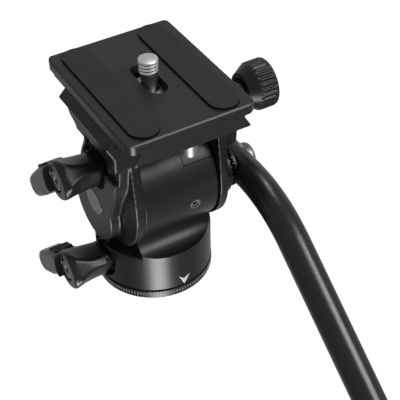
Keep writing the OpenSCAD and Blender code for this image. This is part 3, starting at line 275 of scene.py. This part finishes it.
# %% Four soft boxes
def soft_box(name, azimuth, elevation, distance, width, height, watts, only_gloss):
    """A rectangular lamp that faces the middle of the head. It can light the gloss alone."""
    lamp = bpy.data.lights.new(name, "AREA")
    lamp.shape = "RECTANGLE"
    lamp.size = width
    lamp.size_y = height
    lamp.energy = watts
    holder = bpy.data.objects.new(name, lamp)
    az, el = math.radians(azimuth), math.radians(elevation)
    way = Vector((math.cos(el) * math.cos(az), math.cos(el) * math.sin(az), math.sin(el)))
    holder.location = camera_target + way * distance
    holder.rotation_euler = way.to_track_quat("Z", "Y").to_euler()
    holder.visible_camera = False
    holder.visible_diffuse = not only_gloss
    scene.collection.objects.link(holder)


# Azimuth, elevation, distance, width, height, watts, gloss alone.
lamps = {
    "front_box": (-58, 42, 0.9, 0.5, 0.3, 5.6, False),
    "front_gloss": (-58, 42, 0.88, 0.46, 0.28, 9.0, True),
    "low_strip": (-112, -42, 0.75, 0.28, 0.43, 20.0, True),
    "top_strip": (36, 68, 0.7, 0.08, 0.3, 2.5, True),
}
for name, settings in lamps.items():
    soft_box(name, *settings)
print("lamps", len(lamps))

# %% [markdown]
# ## The finishes
#
# All of the head is black, but not the same black. The plate is bead blasted and anodised, the
# castings are painted, the handle tube is glossy, the pads are soft rubber and the screws are bare
# steel. What tells them apart is their tone, their roughness, a fine grain in the bump, and how
# sharply an edge catches the light. The Bevel node rounds the edges in the shading alone.

# %% Painted, moulded and rubber finishes
edge_samples = 4
fine_detail = 3.0
soft_detail = 2.0
cloud_size = 7 * mm
cloud_in_tone = 0.18
cloud_in_roughness = 0.06
grain_in_roughness = 0.14


def worn_edges(finish, radius, grain, depth):
    """A normal that rounds the edges of a piece by radius, with a grain of that depth over it."""
    edge = finish.node("Bevel", {"samples": edge_samples}, Radius=radius)
    return finish.node("Bump", {}, Height=grain, Distance=depth, Strength=1.0, Normal=edge)


def blasted(name, level, gloss, roughness, grain_size, grain_depth, edge):
    """Anodised, painted or moulded, with a blasted grain and a slight cloud in its tone."""
    finish = Finish(name, Metallic=0.0, Specular_IOR_Level=gloss)
    place = finish.place()
    grain = finish.noise(place, grain_size * mm, fine_detail)
    cloud = finish.noise(place, cloud_size, soft_detail)
    dark, light = grey(level * (1 - cloud_in_tone)), grey(level * (1 + cloud_in_tone))
    unevenness = (grain - 0.5) * grain_in_roughness + (cloud - 0.5) * cloud_in_roughness
    finish.set(
        Base_Color=finish.blend(cloud, dark, light),
        Roughness=(roughness + unevenness).clamp(),
        Normal=worn_edges(finish, edge * mm, grain, grain_depth * mm),
    )
    return finish.material


# Tone, specular level, roughness, then grain size, grain depth and edge radius in millimetres.
blasted_finishes = {
    "black_alloy": (0.017, 0.11, 0.36, 0.2, 0.004, 0.25),
    "cast_alloy": (0.008, 0.11, 0.36, 0.3, 0.004, 0.3),
    "side_plate_grey": (0.036, 0.12, 0.5, 0.25, 0.006, 0.15),
    "lever_paint": (0.010, 0.12, 0.33, 0.3, 0.004, 0.35),
    "knob_plastic": (0.010, 0.11, 0.38, 0.3, 0.004, 0.2),
    "gloss_tube": (0.010, 0.16, 0.28, 1.2, 0.0006, 0.3),
    "pad_rubber": (0.027, 0.08, 0.75, 0.15, 0.02, 0.15),
    # The pads' sideways faces: near black, as painted shade for the shadow along their side walls.
    "pad_side_shade": (0.005, 0.05, 0.7, 0.15, 0.01, 0.05),
    # Painted shade: near black for the camera screw's shank, as the shade and reflection of its
    # hole.
    "shank_shade_steel": (0.012, 0.3, 0.4, 0.2, 0.004, 0.1),
    "ring_grey": (0.13, 0.12, 0.5, 0.2, 0.004, 0.1),
    "engraved_scale": (0.3, 0.3, 0.5, 0.2, 0.004, 0.05),
    "polished_grey": (0.09, 0.4, 0.4, 0.2, 0.004, 0.1),
}
finishes = {name: blasted(name, *settings) for name, settings in blasted_finishes.items()}
print("blasted finishes", len(finishes))

# %% [markdown]
# ## The foam of the grip
#
# The grip is soft black foam with shallow rings across its length, for the hand. The rings are a
# Wave texture. It runs along an axis of the coordinates, so they are turned until that axis lies
# along the handle. Foam has next to no gloss.

# %% Rings across the handle
handle_slope = math.radians(36.5)
ring_pitch = 4.147 * mm
# A Wave texture at scale 1 has this many radians of wave to a metre.
wave_radians = 20.0
pore_size = 0.5 * mm
ring_share = 0.8
ring_depth = 0.12 * mm
grip_edge = 0.5 * mm
grip_dark, grip_light = 0.016, 0.026

grip = Finish("grip_rubber", Metallic=0.0, Roughness=0.82, Specular_IOR_Level=0.06)
rings = grip.node(
    "TexWave", {"bands_direction": "Y", "wave_profile": "SIN"}, output="Fac",
    Vector=grip.place(turned=(-handle_slope, 0, 0)), Scale=math.tau / wave_radians / ring_pitch,
    Distortion=0.0,
)
foam = grip.noise(grip.place(), pore_size, fine_detail)
foam_height = rings * ring_share + foam * (1 - ring_share)
grip.set(
    Base_Color=grip.blend(foam, grey(grip_dark), grey(grip_light)),
    Normal=worn_edges(grip, grip_edge, foam_height, ring_depth),
)
finishes["grip_rubber"] = grip.material
print("rings every", round(ring_pitch / mm, 1), "mm")

# %% [markdown]
# ## Bare metal and white paint
#
# Drawn metal has fine lines along its length, so its noise is stretched that way. The steel of the
# lever screws and pins is duller than the camera screw's, and its grain has no direction. The
# arrow is a white paint with a fine grain.

# %% Drawn and ground metals, and the paint
line_size = 0.25 * mm
line_depth = 0.003 * mm
lines_in_roughness = 0.16
metal_edge = 0.15 * mm


def bare_metal(name, colour, roughness, stretch):
    """Metal with fine lines. A small scale along an axis draws them out along it."""
    finish = Finish(name, Metallic=1.0, Base_Color=colour)
    lines = finish.noise(finish.place(stretch), line_size, fine_detail)
    finish.set(
        Roughness=(roughness + (lines - 0.5) * lines_in_roughness).clamp(),
        Normal=worn_edges(finish, metal_edge, lines, line_depth),
    )
    return finish.material


# Colour, roughness, and the scale of the lines along X, Y and Z.
metals = {
    "steel": (grey(0.3), 0.34, (1, 1, 0.12)),
    "dull_steel": (grey(0.11), 0.5, (1, 1, 1)),
    "bearing_bronze": ((0.5, 0.36, 0.17, 1.0), 0.35, (0.12, 1, 1)),
}
for name, settings in metals.items():
    finishes[name] = bare_metal(name, *settings)

white_dark, white_light = 0.78, 0.86
white_grain_size = 0.3 * mm
white_grain_depth = 0.005 * mm
white_edge = 0.05 * mm
white = Finish("mark_white", Metallic=0.0, Roughness=0.5)
white_grain = white.noise(white.place(), white_grain_size, soft_detail)
white.set(
    Base_Color=white.blend(white_grain, grey(white_dark), grey(white_light)),
    Normal=worn_edges(white, white_edge, white_grain, white_grain_depth),
)
finishes["mark_white"] = white.material
print("finishes", len(finishes))

# %% [markdown]
# ## A finish for every node
#
# The CAD record names a material slot for each node, and the finish of that name goes there. The
# small steel pieces that show take the duller steel, and keep their slot.

# %% Give every node its finish
dull_nodes = [
    "plate_stop_pins", "handle_bolt", "pan_lever_screw", "tilt_lever_screw", "barrel_set_screw",
]
slot_of = {part["node"]: part["material_slot"] for part in frame["record"]["subparts"]}
for name, node in nodes.items():
    node.data.materials.clear()
    node.data.materials.append(finishes["dull_steel" if name in dull_nodes else slot_of[name]])
print("slots", len(set(slot_of.values())))

# %% [markdown]
# ## Soft edges
#
# A cast or painted edge is never sharp. Each CAD node keeps its mesh, and four modifiers finish it:
# Weld joins its triangles, a planar Decimate turns each flat face back into one polygon, Bevel
# rounds every real edge, and Weighted Normal keeps the flat faces flat between the rounded edges.

# %% Round the real edges of the larger nodes
weld_reach = 0.002 * mm
flat_within = math.radians(0.6)
real_edge = math.radians(28.0)
edge_segments = 3
flat_weight = 90


def soften(name, width):
    """Rounds the real edges of a CAD node by that width."""
    node = nodes[name]
    weld = node.modifiers.new("weld", "WELD")
    weld.merge_threshold = weld_reach
    flatten = node.modifiers.new("flatten", "DECIMATE")
    flatten.decimate_type = "DISSOLVE"
    flatten.angle_limit = flat_within
    rounding = node.modifiers.new("rounding", "BEVEL")
    rounding.width = width
    rounding.segments = edge_segments
    rounding.limit_method = "ANGLE"
    rounding.angle_limit = real_edge
    rounding.use_clamp_overlap = True
    rounding.miter_outer = "MITER_ARC"
    shading = node.modifiers.new("shading", "WEIGHTED_NORMAL")
    shading.weight = flat_weight
    shading.keep_sharp = False


# Widths in millimetres.
edge_widths = {
    "quick_release_plate": 0.3, "plate_stop_pins": 0.2, "moving_jaw": 0.35,
    "pan_body": 0.3, "barrel_cover": 0.12, "base_plate": 0.2, "side_plate": 0.12,
    "handle_tube": 0.25, "handle_grip": 0.4, "grip_cap": 0.5, "handle_bolt": 0.15,
}
for name, width in edge_widths.items():
    soften(name, width * mm)
print("softened", len(edge_widths), "nodes")

# %% [markdown]
# ## The yoke's softer edges
#
# The yoke is the largest casting, and its ribs and bosses run into each other with soft fillets
# that a Bevel can't follow. It is melted instead: a voxel Remesh makes one even skin, Smooth
# draws its edges in, and a Decimate takes away the faces that flat places don't need.

# %% Melt the yoke
cast_grain = 0.3 * mm
cast_rounds = 4
cast_pull = 0.5
cast_share_kept = 0.25

yoke = nodes["yoke"]
cast = yoke.modifiers.new("cast", "REMESH")
cast.mode = "VOXEL"
cast.voxel_size = cast_grain
cast.use_smooth_shade = True
polish = yoke.modifiers.new("polish", "SMOOTH")
polish.factor = cast_pull
polish.iterations = cast_rounds
thin = yoke.modifiers.new("thin", "DECIMATE")
thin.ratio = cast_share_kept
print("melted", yoke.name)

# %% [markdown]
# ## Fine forms
#
# The pieces from here on are finer than the CAD model's: the levers' blended hubs, the thread of
# the camera screw, the flutes of the jaw knob, the cut edge of the pads, and the marks. Each is a
# bmesh, which a few helpers turn, raise and round, and each rides on the body that carries it.


# %% Make a piece from a bmesh
def make_piece(name, form, finish, body):
    """A finished object from a bmesh, smooth, with its finish and body."""
    bmesh.ops.recalc_face_normals(form, faces=form.faces)
    for face in form.faces:
        face.smooth = True
    data = bpy.data.meshes.new(name)
    form.to_mesh(data)
    form.free()
    piece = bpy.data.objects.new(name, data)
    scene.collection.objects.link(piece)
    data.materials.append(finishes[finish])
    shading = piece.modifiers.new("shading", "WEIGHTED_NORMAL")
    shading.weight = flat_weight
    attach(piece, body)
    print(name, len(data.polygons), "faces")
    return piece


# %% Turn, raise and round
def turn(form, points, steps, rise=0.0):
    """Spins a profile of radius and height about Z. It climbs by rise a turn, as a thread does."""
    corners = [form.verts.new((r, 0, z)) for r, z in points]
    edges = [form.edges.new(pair) for pair in zip(corners, corners[1:])]
    bmesh.ops.spin(form, geom=corners + edges, axis=(0, 0, 1), cent=(0, 0, 0), angle=math.tau,
                   steps=steps, dvec=(0, 0, rise / steps), use_merge=rise == 0.0)


def raise_faces(form, faces, height):
    """Extrudes faces upwards by height, and gives the corners of the new top."""
    raised = bmesh.ops.extrude_face_region(form, geom=faces)
    top = [item for item in raised["geom"] if isinstance(item, bmesh.types.BMVert)]
    bmesh.ops.translate(form, verts=top, vec=(0, 0, height))
    return top


def among(edge, corners):
    """True if both ends of an edge are among some corners."""
    return all(end in corners for end in edge.verts)


def round_off(form, edges, width, segments=2):
    """Bevels edges to a round of that width."""
    bmesh.ops.bevel(form, geom=edges, offset=width, affect="EDGES", segments=segments,
                    profile=0.5, material=-1)


def middle(low, high):
    """The middle of a box, from its two corners."""
    return Vector([(near + far) / 2 for near, far in zip(low, high)])


# %% [markdown]
# ## The levers
#
# A lever is one casting: a hub that opens from a narrow foot to a round rim, and a thumb tab. The
# hub is lofted through a few loops of eight points each. Two of its lengthwise edges keep a crease,
# and Subdivision Surface rounds the rest. The tab is an outline, raised and rounded, with three
# ribs for the thumb.

# %% Loops of the hub, as shares of its radius
hub_r = 6.85 * mm
round_foot = [(0.09, -0.85), (-0.82, -0.25), (-0.84, 0.12), (-0.37, 0.77),
              (0.24, 0.82), (0.74, 0.43), (0.77, -0.38), (0.5, -0.7)]
# Height in millimetres, then the eight points.
hub_loops = [
    (0.1, round_foot),
    (3.1, round_foot),
    (3.3, [(0.1, -0.84), (-0.98, -0.3), (-1.16, 0.16), (-0.45, 0.94),
           (0.25, 0.84), (0.7, 0.4), (0.7, -0.35), (0.5, -0.7)]),
    (5.0, [(0.1, -0.86), (-1.02, -0.28), (-1.18, 0.14), (-0.45, 0.94),
           (0.25, 0.84), (0.76, 0.4), (0.76, -0.4), (0.5, -0.72)]),
    (8.0, [(0.1, -0.88), (-1.06, -0.26), (-1.18, 0.12), (-0.45, 0.94),
           (0.25, 0.86), (0.98, 0.42), (1.0, -0.42), (0.6, -0.78)]),
    (12.2, [(0.0, -0.97), (-1.0, -0.52), (-1.14, 0.38), (-0.48, 0.98),
            (0.3, 0.94), (1.0, 0.44), (1.02, -0.42), (0.6, -0.85)]),
    (15.0, [(-0.1, -1.08), (-1.02, -0.84), (-1.2, 0.7), (-0.5, 1.06),
            (0.35, 1.0), (0.98, 0.45), (1.0, -0.42), (0.6, -0.9)]),
    (15.8, [(-0.1, -0.98), (-0.94, -0.78), (-1.1, 0.62), (-0.48, 0.96),
            (0.3, 0.9), (0.88, 0.4), (0.9, -0.38), (0.54, -0.82)]),
]
hub_length = hub_loops[-1][0] * mm
creased_points = (1, 2)
line_crease, end_crease, rim_crease = 0.62, 0.9, 0.35
hub_rounds = 3
# The screw's well is cut a little wide, because the subdivision draws it in.
screw_well_r = 4.1 * mm * 1.08
screw_well_z = 13.2 * mm
print("hub loops", len(hub_loops))

# %% Outline of the tab, seen from the end of the hub, in millimetres
tab_outline = [
    (2.2, -5.15), (4.6, -5.4), (7.0, -5.4), (11.0, -5.3), (16.9, -4.4), (21.1, -3.7),
    (23.3, -3.0), (24.7, -1.6), (25.2, 0.4), (24.7, 2.4), (23.3, 3.9), (21.1, 4.55),
    (17.5, 4.4), (14.3, 4.3), (12.5, 4.1), (10.5, 3.45), (7.6, 3.05), (5.6, 3.2),
    (4.75, 3.0), (5.3, 1.8), (5.6, 0), (5.2, -2.1), (4.2, -3.7),
]
tab_foot = 8.4 * mm
tab_top = 17.4 * mm
tab_round = 1.7 * mm
tab_round_from = 6.5 * mm
tab_segments = 5
rib_count = 3
rib_x, rib_y = 6.1 * mm, -5.45 * mm
rib_pitch = 2.3 * mm
rib_r = 0.7 * mm
rib_length = tab_top - tab_foot - 3 * rib_r
print("tab outline", len(tab_outline), "points")


# %% The hub and the tab in their own frame, foot at the origin
def add_hub(form):
    """Lofts the hub through its loops, down into the screw's well."""
    crease = form.edges.layers.float.new("crease_edge")
    rings = []
    for height, shares in hub_loops:
        rings.append([form.verts.new((x * hub_r, y * hub_r, height * mm)) for x, y in shares])
    ways = [math.atan2(y, x) for x, y in hub_loops[-1][1]]
    for depth in (hub_length, screw_well_z):
        rings.append([form.verts.new((math.cos(way) * screw_well_r, math.sin(way) * screw_well_r,
                                      depth)) for way in ways])
    loops = []
    for ring in rings:
        loops.append([form.edges.new(pair) for pair in zip(ring, ring[1:] + ring[:1])])
    for low, high in zip(loops, loops[1:]):
        bmesh.ops.bridge_loops(form, edges=low + high)
    form.faces.new(rings[-1])
    form.faces.new(list(reversed(rings[0])))
    creased_rings = rings[2:7]
    for edge in form.edges:
        for low, high in zip(creased_rings, creased_rings[1:]):
            for point in creased_points:
                if among(edge, (low[point], high[point])):
                    edge[crease] = line_crease
    for edge in loops[0] + loops[1] + loops[2] + loops[-2] + loops[-1]:
        edge[crease] = end_crease
    for edge in loops[-3]:
        edge[crease] = rim_crease


def add_tab(form):
    """Raises the tab from its outline, rounds it beyond the hub, and sets the ribs on it."""
    foot = [form.verts.new((x * mm, y * mm, tab_foot)) for x, y in tab_outline]
    top = raise_faces(form, [form.faces.new(foot)], tab_top - tab_foot)
    edges = [edge for edge in form.edges if (among(edge, top) or among(edge, foot))
             and max(end.co.x for end in edge.verts) > tab_round_from]
    round_off(form, edges, tab_round, tab_segments)
    for index in range(rib_count):
        seat = Vector((rib_x + index * rib_pitch, rib_y, (tab_foot + tab_top) / 2))
        bmesh.ops.create_cone(form, cap_ends=True, segments=20, radius1=rib_r, radius2=rib_r,
                              depth=rib_length, matrix=Matrix.Translation(seat))


# %% Two levers, each turned to its own angle
def add_lever(name, body, tab_angle):
    """A hub and a tab in place of a CAD lever, about the axis of its screw."""
    seat = middle(*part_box(name + "_screw"))
    seat.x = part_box(name)[1].x
    turned = Matrix.Rotation(-math.radians(tab_angle + 90), 4, "X")
    laid = Matrix.Rotation(-math.pi / 2, 4, "Y")
    for part, add, rounds in (("hub", add_hub, hub_rounds), ("tab", add_tab, 0)):
        form = bmesh.new()
        add(form)
        bmesh.ops.transform(form, verts=form.verts, matrix=Matrix.Translation(seat) @ turned @ laid)
        piece = make_piece(name + "_" + part, form, "lever_paint", body)
        if rounds:
            rounding = piece.modifiers.new("rounding", "SUBSURF")
            rounding.levels = rounds
            rounding.render_levels = rounds
        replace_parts(piece, name)


add_lever("pan_lever", "pan_lever_body", 28)
add_lever("tilt_lever", "tilt_lever_body", 37)

# %% [markdown]
# ## The camera screw
#
# The screw that holds the camera is bright steel at its thread. Below it the shank and head are
# painted near black, as shade and as the reflection of the dark plate and hole round them. A thread
# is a profile of teeth that is spun one turn while it climbs by one pitch, so that each tooth ends
# where the next began. A plain core inside it closes its ends.

# %% Sizes of the thread
screw_low, screw_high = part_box("camera_screw")
screw_seat = middle(screw_low, screw_high) * Vector((1, 1, 0))
screw_top = screw_high.z
screw_steps = 64
thread_pitch = 1.15 * mm
thread_length = 5.0 * mm
thread_foot = screw_top - thread_length
crests = 4
thread_r = 3.175 * mm
root_r = 2.75 * mm
core_r = 2.65 * mm
neck_r = 2.6 * mm
tip_edge = 0.5 * mm
tip_corner_r = thread_r - 0.2 * tip_edge
tip_corner_z = screw_top - 0.3 * tip_edge
collar_foot = thread_foot + (crests - 0.1) * thread_pitch
collar_slope = 0.2 * mm
core_tail = 0.3 * mm
shank_top = thread_foot - 0.2 * mm
# One tooth, as radius and share of the pitch: root, root, crest, crest.
tooth_line = [(root_r, 0.0), (root_r, 0.2), (thread_r, 0.55), (thread_r, 0.68)]
tooth_end = 0.02
print("thread foot", round(thread_foot / mm, 1), "mm")

# %% The bright thread
screw = bmesh.new()
teeth = []
for tooth in range(crests):
    teeth += [(r, thread_foot + (tooth - 0.5 + share) * thread_pitch) for r, share in tooth_line]
teeth.append((root_r, teeth[-1][1] + tooth_end * thread_pitch))
turn(screw, teeth, screw_steps, thread_pitch)
core_line = [
    (0, screw_top), (thread_r - tip_edge, screw_top), (tip_corner_r, tip_corner_z),
    (thread_r, screw_top - tip_edge), (thread_r, collar_foot), (core_r, collar_foot - collar_slope),
    (core_r, thread_foot), (neck_r, thread_foot - core_tail), (0, thread_foot - core_tail),
]
turn(screw, core_line, screw_steps)
bmesh.ops.translate(screw, verts=screw.verts, vec=screw_seat)
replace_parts(make_piece("camera_screw_thread", screw, "steel", "screw"), "camera_screw")

# %% The shank and head, painted dark as shade
head_r = 6.6 * mm
head_low = screw_low.z
head_top = head_low + 2.6 * mm

shank = bmesh.new()
shank_line = [
    (0, shank_top), (neck_r, shank_top), (neck_r, head_top), (head_r - tip_edge, head_top),
    (head_r, head_top - tip_edge), (head_r, head_low + tip_edge), (head_r - tip_edge, head_low),
    (0, head_low),
]
turn(shank, shank_line, screw_steps)
bmesh.ops.translate(shank, verts=shank.verts, vec=screw_seat)
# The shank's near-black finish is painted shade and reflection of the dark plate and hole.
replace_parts(make_piece("camera_screw_shank", shank, "shank_shade_steel", "screw"),
            "camera_screw")

# %% [markdown]
# ## The jaw knob
#
# The moulded knob has a coned nose towards the head, with a recess round the clamp screw, and
# flutes round its grip whose tips run out on the cone. It is turned first. Then every point that
# lies outside the flutes is drawn in to them, which gives the pointed tips by itself. Near the
# outer rim the flutes grow shallow.

# %% Sizes of the knob, along X from its outer end
knob_low, knob_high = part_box("jaw_knob")
knob_r = (knob_high.y - knob_low.y) / 2
knob_end = knob_high.x
knob_edge = 0.5 * mm
knob_corner_r = knob_r - 0.3 * knob_edge
knob_corner_x = knob_end - 0.15 * knob_edge
knob_face_r = knob_r - 2.4 * knob_edge
knob_flutes = 28
steps_per_flute = 8
flute_depth = 0.65 * mm
flute_foot = knob_end - 3 * mm
fade_from = knob_end - 1.6 * mm
fade_to = knob_end - 0.4 * mm
rim_share = 0.3
nose_x = knob_end - 9.9 * mm
nose_r = 5.7 * mm
nose_edge = 0.15 * mm
cone_x = knob_end - 5.6 * mm
cone_steps = 14
recess_r = 4.4 * mm
recess_x = nose_x + 2.2 * mm
recess_edge = 0.12 * mm
collar_r = 3.3 * mm
collar_end = recess_x + 0.1 * mm
collar_steps = 40
bore_r = 2.55 * mm
print("knob radius", round(knob_r / mm, 2), "mm")

# %% Turn the knob, and draw in its flutes
knob_line = [
    (0, recess_x), (recess_r, recess_x), (recess_r, nose_x + recess_edge),
    (recess_r + recess_edge, nose_x), (nose_r - nose_edge, nose_x),
]
for step in range(cone_steps + 1):
    share = step / cone_steps
    knob_line.append((nose_r + (knob_r - nose_r) * share,
                      nose_x + nose_edge + (cone_x - nose_x) * share))
knob_line += [
    (knob_r, flute_foot), (knob_r, fade_from), (knob_r, knob_end - 2 * knob_edge),
    (knob_r, knob_end - knob_edge), (knob_corner_r, knob_corner_x),
    (knob_r - knob_edge, knob_end), (knob_face_r, knob_end), (0, knob_end),
]

knob = bmesh.new()
turn(knob, knob_line, knob_flutes * steps_per_flute)
for corner in knob.verts:
    radius = math.hypot(corner.co.x, corner.co.y)
    ripple = 0.5 + 0.5 * math.cos(knob_flutes * math.atan2(corner.co.y, corner.co.x))
    fade = min(max((corner.co.z - fade_from) / (fade_to - fade_from), 0.0), 1.0)
    flute_r = knob_r - flute_depth * ripple * (1 - (1 - rim_share) * fade)
    if radius > flute_r:
        corner.co.x *= flute_r / radius
        corner.co.y *= flute_r / radius
turn(knob, [(bore_r, knob_low.x), (collar_r, knob_low.x), (collar_r, collar_end)], collar_steps)
knob_seat = middle(knob_low, knob_high) * Vector((0, 1, 1))
laid = Matrix.Translation(knob_seat) @ Matrix.Rotation(math.pi / 2, 4, "Y")
bmesh.ops.transform(knob, verts=knob.verts, matrix=laid)
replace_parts(make_piece("jaw_knob_fluted", knob, "knob_plastic", "knob"),
            "jaw_knob")

# %% [markdown]
# ## The rubber pads
#
# The two pads are cut from sheet rubber and stand a little proud of the plate. Each is a circle
# whose halves are moved apart, raised to its thickness and rounded at its rim. The faces that look
# sideways take the second finish, near black: painted shade for the shadow along the side walls.

# %% Raise the pads
pad_proud = 0.35 * mm
pad_edge = 0.15 * mm
pad_segments = 48
level_enough = 0.9


def add_pad(name):
    """A pad whose sideways faces are painted near black as shade, in place of a CAD pad."""
    low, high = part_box(name)
    half_width = (high.x - low.x) / 2
    reach = (high.y - low.y) / 2 - half_width
    pad = bmesh.new()
    bmesh.ops.create_circle(pad, cap_ends=True, radius=half_width, segments=pad_segments)
    for corner in pad.verts:
        if abs(corner.co.y) > pad_edge:
            corner.co.y += math.copysign(reach, corner.co.y)
    top = raise_faces(pad, pad.faces, high.z - low.z + pad_proud)
    round_off(pad, [edge for edge in pad.edges if among(edge, top)], pad_edge)
    seat = middle(low, high)
    bmesh.ops.translate(pad, verts=pad.verts, vec=(seat.x, seat.y, low.z))
    pad.normal_update()
    for face in pad.faces:
        # Faces that look sideways take the second finish, which is painted shade.
        face.material_index = int(abs(face.normal.z) < level_enough)
    piece = make_piece(name + "_cut", pad, "pad_rubber", "plate")
    piece.data.materials.append(finishes["pad_side_shade"])
    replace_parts(piece, name)


add_pad("pad_left")
add_pad("pad_right")

# %% [markdown]
# ## The scale on the base ring
#
# The base ring has a fine scale for the pan angle, engraved and filled with grey. Here each tick
# is a small block that is sunk in the rim and stands out by a few hundredths of a millimetre.

# %% Set the ticks round the rim
base_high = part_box("base_plate")[1]
base_r = base_high.x
tick_count = 120
ticks_to_long = 5
short_tick, long_tick = 1.0 * mm, 1.5 * mm
tick_gap = 0.55 * mm
tick_depth = 0.12 * mm
tick_width = 0.32 * mm
tick_lift = 0.01 * mm

ticks = bmesh.new()
for index in range(tick_count):
    tick_height = short_tick if index % ticks_to_long else long_tick
    seat = Vector((base_r + tick_lift, 0, base_high.z - tick_gap - tick_height / 2))
    block = Matrix.Diagonal((tick_depth, tick_width, tick_height, 1.0))
    round_rim = Matrix.Rotation(math.tau * index / tick_count, 4, "Z")
    bmesh.ops.create_cube(ticks, size=1.0, matrix=round_rim @ Matrix.Translation(seat) @ block)
make_piece("base_scale", ticks, "engraved_scale", "base")

# %% [markdown]
# ## The arrow on the drum
#
# The white arrow that points to the scale is paint on a round wall. It is drawn flat, with its
# width as a length along the wall, cut finely, and then wrapped about the drum's axis.

# %% Draw the arrow and wrap it
drum_r = 20.0 * mm
paint_lift = 0.02 * mm
paint_depth = 0.03 * mm
arrow_cuts = 5
# Angle round the drum in degrees, and height in millimetres.
arrow_corners = {
    "tip": (-87.5, 3.95), "left": (-93.3, 8.2), "right": (-81.1, 7.7), "notch": (-88.0, 6.6),
}

arrow = bmesh.new()
paint_r = drum_r + paint_lift
point = {}
for name, (angle, height) in arrow_corners.items():
    point[name] = arrow.verts.new((math.radians(angle) * paint_r, 0, height * mm))
arrow.faces.new((point["tip"], point["notch"], point["left"]))
arrow.faces.new((point["tip"], point["right"], point["notch"]))
bmesh.ops.subdivide_edges(arrow, edges=arrow.edges, cuts=arrow_cuts, use_grid_fill=True)
for corner in arrow.verts:
    angle = corner.co.x / paint_r
    corner.co = Vector((math.cos(angle) * paint_r, math.sin(angle) * paint_r, corner.co.z))
for corner in raise_faces(arrow, arrow.faces, 0):
    corner.co.x *= 1 + paint_depth / paint_r
    corner.co.y *= 1 + paint_depth / paint_r
make_piece("drum_arrow", arrow, "mark_white", "pan")

# %% [markdown]
# ## The oval on the side plate
#
# The side plate has a low oval boss, ground smooth, so it catches the light better than the plate
# around it. It is a circle scaled to an oval, raised, rounded and turned to face the side.

# %% Raise the oval
side_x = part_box("side_plate")[0].x
oval_seat = Vector((side_x + 0.06 * mm, -0.5 * mm, 36.8 * mm))
oval_half_height = 5.5 * mm
oval_half_width = 4.5 * mm
oval_height = 0.22 * mm
oval_edge = 0.12 * mm
oval_segments = 64

oval = bmesh.new()
bmesh.ops.create_circle(oval, cap_ends=True, radius=1.0, segments=oval_segments)
bmesh.ops.scale(oval, vec=(oval_half_height, oval_half_width, 1), verts=oval.verts)
top = raise_faces(oval, oval.faces, oval_height)
round_off(oval, [edge for edge in oval.edges if among(edge, top)], oval_edge)
faced = Matrix.Rotation(-math.pi / 2, 4, "Y") @ Matrix.Rotation(math.pi / 2, 4, "Z")
bmesh.ops.transform(oval, verts=oval.verts, matrix=Matrix.Translation(oval_seat) @ faced)
make_piece("side_oval", oval, "polished_grey", "tilt")

# %% [markdown]
# ## The ring round the set screw
#
# The hole of the barrel's set screw has a bright rim, where the drill went through the paint. It
# is a thin turned ring with a rounded top, tilted until it lies on the barrel's wall.

# %% Turn the ring
ring_seat = Vector((6.1, -19.7, 37.2)) * mm
ring_tilt = math.radians(99.2)
ring_steps = 48
# Radius and height in millimetres, once round the ring's section.
ring_line = [
    (1.4, 0.0), (1.5, 0.1), (1.75, 0.14), (1.9, 0.06), (1.9, -0.2), (1.4, -0.2), (1.4, 0.0),
]

ring = bmesh.new()
turn(ring, [(r * mm, z * mm) for r, z in ring_line], ring_steps)
tilted = Matrix.Translation(ring_seat) @ Matrix.Rotation(ring_tilt, 4, "X")
bmesh.ops.transform(ring, verts=ring.verts, matrix=tilted)
make_piece("set_screw_ring", ring, "ring_grey", "pan")
